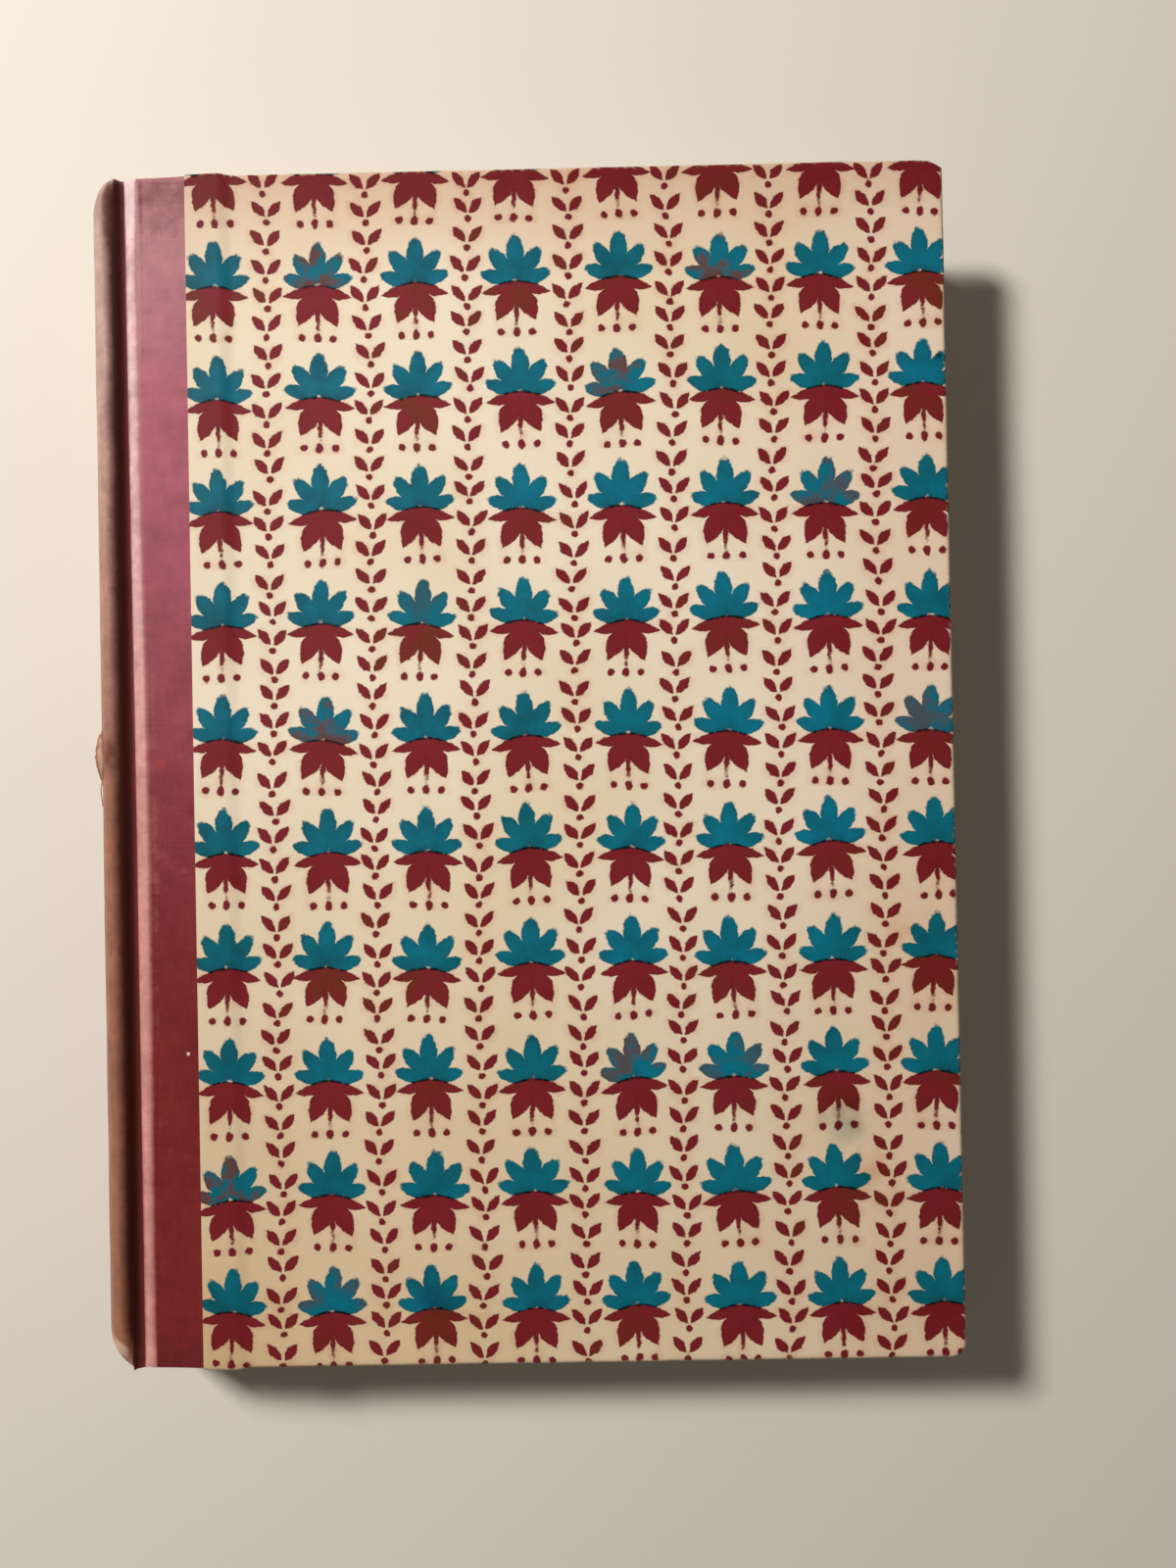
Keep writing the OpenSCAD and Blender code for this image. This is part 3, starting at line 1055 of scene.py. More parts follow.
        # The pale of the joint's edge is worn cloth and a painted highlight, and the tail spot is too.
        thin = g.add("MixRGB", (high, linear(self.rubbed_and_lit), linear(self.scuffed_and_lit)))
        thin = g.add("MixRGB", (spine, thin, linear(self.bared_and_lit)))
        return g.add("MixRGB", (g.add("MapRange", (wear_and_light, *self.bare)), body, thin))


@dataclass(frozen=True)
class LeafEdges:
    """Trimmed edges of aged book paper: close pale and dark lines, toned brown by air and dust."""

    pale: str = "#e2d2b2"
    dark: str = "#b79d74"
    dust: str = "#8f7853"

    def material(self) -> Material:
        """Makes the material; the unfolded z is the height through the stack.

        Returns:
            The new material.
        """
        g = Graph.surface("aged_leaf_edges", 0.75)
        lay = g.add("Attribute", attribute_name=LAY).outputs["Vector"]
        # Leaves are 0.1 mm; lines of 0.3 mm and 1.2 mm are the finest that show.
        lines = stretched(g, lay, (0.012, 0.012, 3.4), 3.0)
        folds = stretched(g, lay, (0.01, 0.01, 0.8), 2.0)
        cloud = stretched(g, lay, (0.02, 0.02, 0.14), 4.0)
        tone = g.add("Math", (folds, 0.35), operation="MULTIPLY")
        tone = g.add("Math", (lines, 0.65, tone), operation="MULTIPLY_ADD")
        mix = g.add("MapRange", (tone, 0.4, 0.58))
        body = g.add("MixRGB", (mix, linear(self.dark), linear(self.pale)))
        dusty = g.add("MapRange", (cloud, 0.46, 0.7, 0.0, 0.4))
        g.feed("Base Color", g.add("MixRGB", (dusty, body, linear(self.dust)), blend_type="MULTIPLY"))
        g.feed("Normal", g.add("Bump", {"Height": lines, "Strength": 0.5, "Distance": 0.0001}))
        return g.material


@dataclass(frozen=True)
class PlainStuff:
    """A fibrous or woven stuff of one colour: paper, board, card, mull, thread or silk.

    Its two colours and the grain give the eye fibres, so that no face of it is flat; a weave has open
    holes of the darker colour, and brown foxing comes in spots.
    """

    name: str
    light: str
    shade: str
    roughness: float
    grain_mm: float
    weave_mm: float = 0.0
    stripe_mm: float = 0.0
    stripe: str = "#f0e6d0"
    from_lay: bool = False
    fox: float = 0.0
    foxed: str = "#a9753f"

    def material(self) -> Material:
        """Makes the material, with weave, stripes or foxing where the stuff has them.

        Returns:
            The new material.
        """
        g = Graph.surface(self.name, self.roughness)
        if self.from_lay:
            place = g.add("Attribute", attribute_name=LAY).outputs["Vector"]
        else:
            place = g.add("TexCoord").outputs["Object"]
            place = g.add("VectorMath", {0: place, "Scale": 1 / MM}, operation="SCALE")
        x, y, _ = g.add("SeparateXYZ", (place,)).outputs
        grain = {"Vector": place, "Scale": 1 / self.grain_mm, "Detail": 4.0, "Roughness": 0.6}
        fibre = g.add("TexNoise", grain)
        cloud = g.add("TexNoise", {"Vector": place, "Scale": 0.03, "Detail": 3.0})
        tone = g.add("Math", (cloud, 0.4), operation="MULTIPLY")
        tone = g.add("Math", (fibre, 0.6, tone), operation="MULTIPLY_ADD")
        mix = g.add("MapRange", (tone, 0.36, 0.64))
        body = g.add("MixRGB", (mix, linear(self.shade), linear(self.light)))
        height = fibre
        if self.weave_mm:
            height = g.add("Math", threads(g, (x, y), self.weave_mm), operation="MAXIMUM")
            body = g.add("MixRGB", (g.add("MapRange", (height, -0.2, 0.5)), linear(self.shade), body))
        if self.stripe_mm:
            mask = g.add("MapRange", (*threads(g, (x,), self.stripe_mm), -0.15, 0.15))
            body = g.add("MixRGB", (mask, body, linear(self.stripe)))
        if self.fox:
            spots = g.add("TexNoise", {"Vector": place, "Scale": 0.22, "Detail": 5.0, "Roughness": 0.7})
            foxed = g.add("MapRange", (spots, 0.6, 0.75, 0.0, self.fox))
            body = g.add("MixRGB", (foxed, body, linear(self.foxed)), blend_type="MULTIPLY")
        g.feed("Base Color", body)
        g.feed("Normal", g.add("Bump", {"Height": height, "Strength": 0.25, "Distance": 0.00008}))
        return g.material


@dataclass
class Finishes:
    """All the materials of the book."""

    printed: Material
    cloth: Material
    edges: Material
    endpaper: Material
    greyboard: Material
    card: Material
    kraft: Material
    bared_and_lit_lining: Material
    mull: Material
    linen: Material
    silk: Material

    @classmethod
    def made(cls) -> "Finishes":
        """Makes them all.

        Returns:
            The finishes.
        """
        # Wove endpaper is smooth and warm, with a few brown spots of age.
        endpaper = PlainStuff("wove_endpaper", "#e9dcc2", "#dccaa6", 0.7, 0.8, from_lay=True, fox=0.35)
        # Board of waste paper is matt and speckled grey.
        greyboard = PlainStuff("greyboard", "#8f8471", "#6f6557", 0.85, 0.5, from_lay=True)
        # Rolled card is a shade smoother and browner, and kraft paper smoother and redder still.
        card = PlainStuff("spine_card", "#9a8463", "#7c6748", 0.8, 0.6)
        kraft = PlainStuff("kraft_lining_paper", "#a98458", "#8a6840", 0.75, 0.7)
        # Torn lining shows its broken fibres, rough and blotched with old glue.
        torn = PlainStuff("torn_spine_lining", "#a97b58", "#6b4330", 0.9, 0.5, from_lay=True)
        # Mull is open gauze stiff with size; its real 0.7 mm mesh is drawn at 1 mm so that it shows.
        mull = PlainStuff("sized_mull", "#ddd0b0", "#a89672", 0.85, 0.4, weave_mm=1.0)
        # Twisted linen is pale and fine-grained, and spun silk takes a soft gloss.
        linen = PlainStuff("linen_thread", "#e2d8be", "#bfae88", 0.7, 0.25)
        silk = PlainStuff(
            "worked_band_silk", "#8c2f33", "#6f2328", 0.45, 0.3,
            stripe_mm=3.2, stripe="#e4d6b4", from_lay=True,
        )
        special = (PrintedPaper(), BookCloth(), LeafEdges())
        plain = (endpaper, greyboard, card, kraft, torn, mull, linen, silk)
        return cls(*(stuff.material() for stuff in (*special, *plain)))


@dataclass
class SidePaper:
    """The printed sheet on one board, folded over three edges and turned in."""

    binding: Binding
    side: Side
    fillet: float = 0.75
    corner_steps: int = 14
    step_mm: float = 2.6
    # Length and depth of the knock at the head's corner.
    knock: Plane = (3.9, 1.6)
    joint_draw: float = 0.42

    def _profile(self, raised: float) -> list[tuple[float, float, float, float]]:
        """Section from the flat of the sheet, over the board's edge and under it.

        Args:
            raised: How far the cloth lifts the sheet here.

        Returns:
            For each step: reach past the safe rectangle, z, unfolded length and distance to the fold.
        """
        b = self.binding
        out = b.corner_r + b.side_paper_t + raised
        top = b.z_board_top + b.side_paper_t + raised
        under = b.z_board - b.side_paper_t - raised
        r = self.fillet
        middle = out - r
        steps: list[Plane] = [(middle * k / 3, top) for k in (1, 2, 3)]
        for angle in (0.4, 0.8, 1.2, math.pi / 2):
            steps.append((middle + r * math.sin(angle), top - r * (1 - math.cos(angle))))
        steps.append((out, (top + under) / 2))
        for angle in (0.0, 0.5, 1.0, math.pi / 2):
            steps.append((middle + r * math.cos(angle), under + r * (1 - math.sin(angle))))
        steps += [(middle - k, under) for k in (0.8, 2.5, 6.0, b.turn_in - r)]
        result = []
        length, last = 0.0, (0.0, top)
        fold = middle + r * math.pi / 4
        for place in steps:
            length += math.dist(place, last)
            last = place
            result.append((*place, length, length - fold))
        return result

    def _raised(self, x: float) -> float:
        """How far the cloth under the sheet lifts it at a place."""
        b = self.binding
        return b.cloth_t * (1 - smooth(b.x_lap - 0.4, b.x_lap + 2.6, x))

    def _dent(self, past: float) -> float:
        """Depth of the knock at the head's corner.

        Args:
            past: Place past the start of the corner's round, along the head.

        Returns:
            The depth.
        """
        long, deep = self.knock
        full = self.binding.corner_r + self.binding.side_paper_t
        return deep * clamp((past + long - full) / long) ** 1.7

    def _square(self, angle: float) -> float:
        """How far the knocked corner at the head stands past a round one.

        Args:
            angle: Direction from the middle of the corner's round.

        Returns:
            The distance, found by halving.
        """
        full = self.binding.corner_r + self.binding.side_paper_t
        low, high = 0.7 * full, full / math.cos(min(angle, math.radians(80)))
        for _ in range(24):
            middle = (low + high) / 2
            inside = middle * math.sin(angle) < full - self._dent(middle * math.cos(angle))
            low, high = (middle, high) if inside else (low, middle)
        return low - full

    def _swell(self, x: float, y: float) -> float:
        """Slight unevenness of the board and of the paste, never past the full thickness."""
        slow = 0.05 * wander(x, y, 3.0 * self.side.value, 38.0)
        return min(0.0, slow + 0.018 * wander(x, y, 9.0, 7.0) - 0.03)

    def build(self, material: Material) -> Object:
        """Makes the sheet.

        Args:
            material: The printed paper.

        Returns:
            The new piece.
        """
        b = self.binding
        draft = Draft(b, self.side)
        x_safe, y_safe = b.x_fore - b.corner_r, b.board_h / 2 - b.corner_r
        # The columns lie close where the sheet steps down over the cloth's edge.
        xs = [b.x_show, b.x_show + 0.6, *spread(b.x_show + 1.6, b.x_lap - 0.6, 1.6)]
        xs += [*spread(b.x_lap - 0.4, b.x_lap + 2.8, 0.4), *spread(b.x_lap + 4.0, x_safe, self.step_mm)]
        ys = spread(-y_safe, y_safe, self.step_mm)
        flat = b.z_board_top + b.side_paper_t
        grid = []
        for y in ys:
            places = [(x, y, flat + self._raised(x) + self._swell(x, y)) for x in xs]
            grid.append([draft.point(place, (place[0], y, -b.corner_r)) for place in places])
        draft.skin(grid)
        foot = (b.x_show + 0.02, b.z_cloth_top - 0.03)
        skirt = [draft.point((foot[0], y, foot[1]), (b.x_show - 0.2, y, -b.corner_r)) for y in ys]
        for i in range(len(ys) - 1):
            draft.cap((skirt[i], grid[i][0], grid[i + 1][0], skirt[i + 1]))
        self._edges(draft, grid, xs, ys)
        return draft.build(f"{self.side.word}_printed_paper", material)

    def _edges(self, draft: Draft, grid: list[list[int]], xs: list[float], ys: list[float]) -> None:
        """Folds the sheet over head, fore edge and tail.

        Args:
            draft: Mesh in the making.
            grid: Points of the flat of the sheet, by row.
            xs: Places of its columns.
            ys: Places of its rows.
        """
        b = self.binding
        # Each stop: start on the flat, direction out, number of the point there and room to turn in.
        stops: list[tuple[float, float, float, int, float]] = []
        last_x, last_y = xs[-1], ys[-1]
        quarter = math.pi / 2
        for x, number in zip(xs, grid[-1], strict=True):
            stops.append((x, last_y, quarter, number, last_x - x))
        for k in range(1, self.corner_steps):
            stops.append((last_x, last_y, quarter * (1 - k / self.corner_steps), grid[-1][-1], 0.0))
        for y, row in zip(ys[::-1], grid[::-1], strict=True):
            stops.append((last_x, y, 0.0, row[-1], last_y - abs(y)))
        for k in range(1, self.corner_steps):
            stops.append((last_x, -last_y, -quarter * k / self.corner_steps, grid[0][-1], 0.0))
        for x, number in zip(xs[::-1], grid[0][::-1], strict=True):
            stops.append((x, -last_y, -quarter, number, last_x - x))
        rows: list[list[int]] = [[stop[3]] for stop in stops]
        for row, (x, y, angle, _, room) in zip(rows, stops, strict=True):
            dx, dy = math.cos(angle), math.sin(angle)
            raised = self._raised(x) if abs(dy) > 0.5 and room > 0 else 0.0
            dent = 0.0
            if dy > 0:
                dent = self._square(angle) if room == 0 and dx > 0 else -self._dent(x - last_x)
            for reach, z, length, fold in self._profile(raised):
                limit = -min(b.turn_in, room) if room > 0 else 0.0
                out = max(reach, limit)
                if out > 1.5:
                    out += 0.07 * wander(x + 30 * dx, y + 30 * dy, 5.0 * self.side.value, 9.0)
                    # The sheet and the cloth end a little short of the board's corner at the joint.
                    out += dent - self.joint_draw * smooth(22.0, 6.0, x)
                z += self._swell(x, y) * clamp(1 - fold) if fold < 1 else 0.0
                lay = (x + dx * length, y + dy * length, fold)
                row.append(draft.point((x + dx * out, y + dy * out, z), lay))
        draft.skin(rows, flip=True)


@dataclass
class CaseCloth:
    """One half of the book cloth: from under the side paper, over the joint, to the middle of the spine.

    Each end of the spine is pushed in and rounded by handling: its wear is a reach along the spine
    and a depth. The tear is on the front half: a ragged hole down to the card, with a shred of cloth
    that curls out from its upper rim and a few loose threads.
    """

    binding: Binding
    side: Side
    hidden_edge: float = 0.5
    arc_steps: int = 22
    turn_steps: int = 8
    head_wear: Plane = (5.0, 1.6)
    tail_wear: Plane = (6.2, 2.6)
    lean: float = 0.45
    joint_draw: float = 0.42
    # Middle of the tear as angle round the back and place along the spine, and half its size.
    tear_middle: Plane = (math.radians(19), 3.1)
    tear_half: Plane = (3.5, 4.5)
    tear_lay: float = 26.0
    rim_steps: int = 56
    shred_mm: float = 2.4
    shred_steps: tuple[int, int] = (40, 12)
    thread_r: float = 0.11
    tail_wear_and_highlight: Plane = (3.1, -110.6)

    def _section(self) -> list[tuple[Plane, Plane, float, float]]:
        """Section across the joint.

        Returns:
            For each step: outer place, inner place for the turn-in, depth of the turn-in and rubbing, which
                also paints shade in the groove and a highlight on the edge.
        """
        b = self.binding
        top, inner = b.z_cloth_top, b.z_board - b.cloth_t
        steps: list[tuple[Plane, Plane, float, float]] = []
        for x in spread(7.6, b.x_lap - self.hidden_edge, 1.3)[::-1]:
            steps.append(((x, top), (x, inner), b.turn_in, 0.0))
        # The ridge: place, drop below the board's face, and rubbing; the pale this gives on the edge's
        # slope is also a painted highlight.
        ridge = [
            (7.1, 0.0, -0.18), (6.7, 0.01, 0.04), (6.3, 0.04, 0.42), (5.9, 0.09, 0.8), (5.4, 0.2, 1.02),
            (4.9, 0.4, 1.1), (4.4, 0.7, 1.02), (4.0, 1.08, 0.85), (3.7, 1.5, 0.55), (3.5, 1.9, 0.2),
            (3.36, 2.3, -0.2),
        ]
        for x, drop, wear_and_light in ridge:
            steps.append(((x, top - drop), (max(x, 4.0), inner), b.turn_in - 2.4 * drop, wear_and_light))
        # The groove and the shoulder: place, level and rubbing; below zero it is dirt and painted shade,
        # darkest in the groove.
        groove = [
            (3.15, 10.35, -0.8), (2.85, 10.08, -0.95), (2.5, 10.02, -1.05), (2.15, 10.18, -1.15),
            (1.85, 10.45, -1.1), (1.58, 10.8, -1.05), (1.32, 11.18, -0.95), (1.05, 11.58, -0.8),
            (0.76, 11.95, -0.65), (0.42, 12.26, -0.52), (0.0, 12.45, -0.42), (-0.5, 12.5, -0.33),
        ]
        for x, z, wear_and_light in groove:
            steps.append(((x, z), (x + 0.2, z - 0.5), 3.2, wear_and_light))
        arc = b.back_angle - 0.035
        for k in range(self.arc_steps + 1):
            angle = arc * (1 - k / self.arc_steps)
            out = b.on_back(b.r_case, angle)
            inn = b.on_back(b.r_case - b.inlay_t - 2 * b.cloth_t, min(angle, b.back_angle))
            # Over the shoulder the spine's round darkens: painted shade where it turns from the light.
            steps.append((out, inn, b.turn_in, 0.5 - 0.75 * smooth(-3.1, -0.6, out[0])))
        return steps

    def build(self, material: Material, lining: Material) -> Object:
        """Makes the cloth, rolled over and turned in at head and tail.

        Args:
            material: The book cloth.
            lining: What shows through the tear.

        Returns:
            The new piece.
        """
        b = self.binding
        draft = Draft(b, self.side)
        columns: list[list[int]] = []
        half = b.board_h / 2 + b.cloth_t
        s, last = self.hidden_edge - b.x_lap, None
        ends = spread(half - 7.5, half - 1.6, 0.75)
        ys = [*[-y for y in ends[::-1]], *spread(-half + 10.0, half - 10.0, 2.2), *ends]
        for outer, inner, depth, wear_and_light in self._section():
            s += math.dist(outer, last) if last else 0.0
            last = outer
            column = self._turned_end(draft, outer, inner, depth, wear_and_light, s, -1)[::-1]
            for y in ys:
                column.append(draft.point(self._shaped(outer, y), (s, y, self._wear_and_light(wear_and_light, s, y))))
            column += self._turned_end(draft, outer, inner, depth, wear_and_light, s, 1)
            columns.append(column)
        draft.skin(columns, flip=True)
        finishes = [material]
        if self.side is Side.FRONT:
            self._tear(draft)
            finishes.append(lining)
        return draft.build(f"{self.side.word}_case_cloth", *finishes, hard_deg=70.0)

    @cached_property
    def cut(self) -> Plane:
        """Size that this half of the cloth is cut to, in millimetres.

        Returns:
            Its size across the joint and along it.
        """
        places = [outer for outer, _, _, _ in self._section()]
        across = sum(math.dist(a, b) for a, b in zip(places, places[1:], strict=False))
        return across, self.binding.board_h + 2 * self.binding.cloth_t + 2 * self.binding.turn_in

    def _wear_and_light(self, wear_and_light: float, s: float, y: float) -> float:
        """Rubbing at a place, which also carries painted shade and painted highlight: more at the ends of
        the raised parts, dirtier at those of the flat.

        Args:
            wear_and_light: Rubbing of the section there, with its painted shade and highlight.
            s: Unfolded place across the joint.
            y: Place along the spine.

        Returns:
            How worn it is, with dirt and painted shade below zero.
        """
        ends = smooth(97, 109, y) if y > 0 else smooth(104, 114, -y)
        change = -0.32 if s < -6.5 else 0.3 * clamp(wear_and_light * 4)
        change -= 0.3 * smooth(0.5, 2.5, s) * smooth(9.0, 5.0, s) if y > 0 else 0.0
        wear_and_light += change * ends + 0.14 * wander(s, y, 4.0, 11.0)
        # The pale band beside the groove is widest halfway along: worn cloth and a painted highlight.
        halfway = smooth(-88, -25, y) * smooth(75, 10, y)
        wear_and_light += 0.45 * halfway * smooth(-4.6, -3.2, s) * smooth(-0.4, -1.6, s)
        wear_and_light += 0.3 * halfway * smooth(-5.0, -6.0, s) * smooth(-8.4, -6.8, s)
        if self.side is Side.FRONT:
            # Dirt has gathered round the tear; the pale spot where the tail was knocked is worn cloth and a
            # painted highlight.
            hole = self._in_hole(s, y)
            wear_and_light -= 0.9 * smooth(5.5, 0.5, hole) + 0.2 * smooth(0.5, 0.0, hole)
            spot_s, spot_y = self.tail_wear_and_highlight
            wear_and_light += 1.8 * math.exp(-((s - spot_s) ** 2 / 5.0) - (y - spot_y) ** 2 / 5.0)
        return wear_and_light

    def _in_hole(self, s: float, y: float) -> float:
        """Distance to the tear, roughly.

        Args:
            s: Unfolded place across the joint.
            y: Place along the spine.

        Returns:
            The distance, negative inside.
        """
        arc = self.cut[0] + self.hidden_edge - self.binding.x_lap
        middle = arc - self.tear_middle[0] * self.binding.r_case
        return math.hypot(s - middle, y - self.tear_middle[1]) - max(self.tear_half)

    def _flare(self, x: float, end: float) -> float:
        """How far the end of the groove stands out, more at the tail.

        Args:
            x: Place across the joint.
            end: 1 at the head, -1 at the tail.

        Returns:
            The distance.
        """
        if end > 0:
            return 0.45 * smooth(-4.4, -1.6, x) * smooth(3.8, 2.8, x)
        return 0.85 * smooth(-3.8, 0.0, x) * smooth(4.6, 3.0, x)

    def _shaped(self, place: Plane, y: float) -> Point:
        """Gives a place of the section its wear, by where it is along the spine.

        Args:
            place: Place (x, z) in the section.
            y: Place along the spine.

        Returns:
            The worn place.
        """
        b = self.binding
        x, z = place
        left = b.board_h / 2 + b.cloth_t - abs(y)
        reach, depth = self.head_wear if y > 0 else self.tail_wear
        depth *= 1 + 0.25 * wander(x, z, 4.0 * self.side.value, 5.0)
        pull = depth * clamp((reach - left) / reach) ** 2
        pull -= 0.06 * wander(x, y, 2.0 * self.side.value, 14.0) + 0.03 * wander(x, y, 6.0, 4.0)
        pull *= smooth(2.2, -1.4, x)
        x -= self.lean * smooth(-15.0, 95.0, y) * smooth(2.9, 3.6, x) * smooth(8.6, 5.6, x)
        radius = math.dist((x, z), (b.back_x, 0.0))
        lift = 0.75 * smooth(3.4, 2.6, x) * smooth(0.2, 1.4, x) * smooth(5.0, 0.3, left)
        x = b.back_x + (x - b.back_x) * (1 - pull / radius)
        return x, y, z * (1 - pull / radius) + lift

    def _turned_end(
        self, draft: Draft, outer: Plane, inner: Plane, depth: float, wear_and_light: float, s: float, end: int
    ) -> list[int]:
        """Rolls one end of a strip over the edge and inwards.

        Args:
            draft: Mesh in the making.
            outer: Outer place of the section.
            inner: Inner place of the section.
            depth: Length turned in.
            wear_and_light: Rubbing of the section, with its painted shade and highlight.
            s: Unfolded place across the joint.
            end: 1 at the head, -1 at the tail.

        Returns:
            Numbers of the points, from outside to inside.
        """
        b = self.binding
        half = b.board_h / 2 + b.cloth_t
        half += self._flare(outer[0], end) - self.joint_draw * smooth(22.0, 6.0, outer[0])
        thick = math.dist(outer, inner)
        round_y = min(1.2, max(0.35, thick / 2))
        numbers = []
        for k in range(self.turn_steps + 1):
            angle = math.pi * k / self.turn_steps
            across = (1 - math.copysign(abs(math.cos(angle)) ** 0.5, math.cos(angle))) / 2
            y = half - round_y + round_y * math.sin(angle) ** 0.5
            x = outer[0] + (inner[0] - outer[0]) * across
            z = outer[1] + (inner[1] - outer[1]) * across
            # The outer corner of the turn is worn paler, and the end itself keeps more of its colour; in
            # the groove the end keeps half of the painted shade.
            worn = wear_and_light * 0.5
            if wear_and_light > -0.4:
                worn = self._wear_and_light(wear_and_light, s, end * y) * (1 - 0.75 * smooth(1.5, 4.5, k))
            worn += (0.42 + 0.3 * wander(s, end * 9.0, 2.0, 2.3)) * math.exp(-(((k - 1.8) / 1.3) ** 2))
            lay = (s, end * (y + thick * across), worn)
            numbers.append(draft.point(self._shaped((x, z), end * y), lay))
        for share in (0.3, 0.7, 1.0):
            y = half - round_y - max(0.2, depth - round_y) * share
            numbers.append(draft.point(self._shaped(inner, end * y), (s, end * (2 * half - y), wear_and_light)))
        return numbers

    def _on_spine(self, down: float, y: float, lift: float) -> Point:
        """A place on the spine, by where it is from the middle of the tear.

        Args:
            down: Distance round the spine, away from the front cover.
            y: Distance towards the head.
            lift: Height over the cloth.

        Returns:
            The place.
        """
        b = self.binding
        x, z = b.on_back(b.r_case + lift, self.tear_middle[0] - down / b.r_case)
        return x, self.tear_middle[1] + y, z

    def _tear(self, draft: Draft) -> None:
        """Adds the tear: a ragged hole with a raised rim, the curled shred and the loose threads.

        Args:
            draft: Mesh in the making.
        """
        rim_in, rim_out, level = 0.9, 1.16, 0.03
        floor = [(0.0, level), (0.35, level), (0.7, level), (rim_in, level)]
        rings = []
        for share, lift in (*floor, (rim_in, 0.16), (1.0, 0.24), (rim_out, -0.06)):
            ring = []
            for k in range(self.rim_steps):
                turn = 2 * math.pi * k / self.rim_steps
                ragged = 1 + 0.2 * wander(math.cos(turn), math.sin(turn), 0.0, 0.5)
                ragged += 0.16 * wander(math.cos(turn), math.sin(turn), 5.0, 0.13) * (share > 0.8)
                down = self.tear_half[0] * share * ragged * math.sin(turn)
                y = self.tear_half[1] * share * ragged * math.cos(turn)
                wear_and_light = 0.75 if lift > 0.1 else 0.2
                ring.append(draft.point(self._on_spine(down, y, lift), (self.tear_lay + down, y, wear_and_light)))
            rings.append(ring)
        draft.coat = 1
        draft.skin(rings[: len(floor)], closed=True)
        draft.coat = 0
        draft.skin(rings[len(floor) - 1 :], closed=True)
        self._shred(draft)
        for start, bend, length in ((-4.2, -0.9, 5.6), (-3.4, 0.5, 2.6), (3.9, 1.2, 2.4), (1.4, -2.0, 1.8)):
            self._thread(draft, start, bend, length)

    def _shred(self, draft: Draft) -> None:
        """Adds the tongue of cloth that curls out from the upper rim of the tear.

        Args:
            draft: Mesh in the making.
        """
        wide, deep = self.shred_steps
        rows = []
        for i in range(wide + 1):
            u = i / wide
            y = self.tear_half[1] * (2 * u - 1)
            reach = self.shred_mm * math.sin(math.pi * clamp(0.03 + 0.94 * u**1.15)) ** 0.55
            reach *= 0.9 + 0.22 * wander(u * 7, 3.0, 0.0, 1.0) + 0.1 * wander(u * 31, 8.0, 0.0, 1.0)
            rim = -self.tear_half[0] * math.sqrt(1 - (0.98 * (2 * u - 1)) ** 2)
            x, _, z = self._on_spine(rim, 0.0, 0.1)
            row = []
            for j in range(deep + 1):
                v = j / deep
                turn = math.radians(30 + 52 * v**1.3 + 16 * wander(u * 4, v, 2.0, 1.0))
                if j:
                    x -= reach / deep * math.sin(turn)
                    z -= reach / deep * math.cos(turn)
                edge = max(smooth(0.72, 1.0, v), smooth(0.12, 0.0, min(u, 1 - u)))
                wear_and_light = 0.95 - 1.15 * edge + 0.3 * wander(u * 9, v * 5, 3.0, 1.0)
                place = (x, self.tear_middle[1] + y + 0.3 * v * wander(u * 6, 7.0, 0.0, 1.0), z)
                row.append(draft.point(place, (self.tear_lay + 4 * v, y, wear_and_light)))
            rows.append(row)
        draft.skin(rows)

    def _thread(self, draft: Draft, start: float, bend: float, length: float) -> None:
        """Adds one loose thread at the rim of the tear.

        Args:
            draft: Mesh in the making.
            start: Where it starts, along the spine from the middle of the tear.
            bend: How far it bows out round the spine.
            length: Its length along the spine, towards the tail.
        """
        rings = []
        for i in range(13):
            u = i / 12
            y = start - length * u * (1 if start < 0 else -1)
            down = 0.4 * self.tear_half[0] + bend * math.sin(math.pi * u * 0.8)
            lift = 0.1 + 0.32 * math.sin(math.pi * u**0.8) * (1 - 0.3 * u)
            ring = []
            for k in range(5):
                turn = 2 * math.pi * k / 5
                aside, up = self.thread_r * math.cos(turn), self.thread_r * math.sin(turn)
                place = self._on_spine(down + aside, y, lift + up)
                ring.append(draft.point(place, (self.tear_lay + down, y, 0.75)))
            rings.append(ring)
        draft.skin(rings, closed=True)


@dataclass
class SpineCard:
    """Card that stiffens the spine of the case, with its ends softened like the cloth's."""

    binding: Binding
    short: float = 1.7
    play: float = 0.03
    soft_mm: float = 3.0

    def build(self, material: Material) -> Object:
        """Makes the card.

        Args:
            material: The card.

        Returns:
            The new piece.
        """
        b = self.binding
        draft = Draft(b)
        inner = b.back_r + b.stack_t + b.cloth_t + self.play
        outer = inner + b.inlay_t - 2 * self.play
        half = b.board_h / 2 - self.short
        soft = half - self.soft_mm
        loops = []
        for angle in spread(-b.back_angle, b.back_angle, 0.05):
            loop = []
            for radius, y, pull in (
                (inner, -half, 0.7), (inner, -soft, 0.0), (inner, soft, 0.0), (inner, half, 0.7),
                (outer, half, 0.9), (outer, soft, 0.0), (outer, -soft, 0.0), (outer, -half, 0.9),
            ):
                x, z = b.on_back(radius - pull, angle)
                loop.append(draft.point((x, y, z), (x, y, z)))
            loops.append(loop)
        draft.skin(loops, closed=True)
        draft.cap(loops[0])
        draft.cap(loops[-1][::-1])
        return draft.build("spine_card", material)


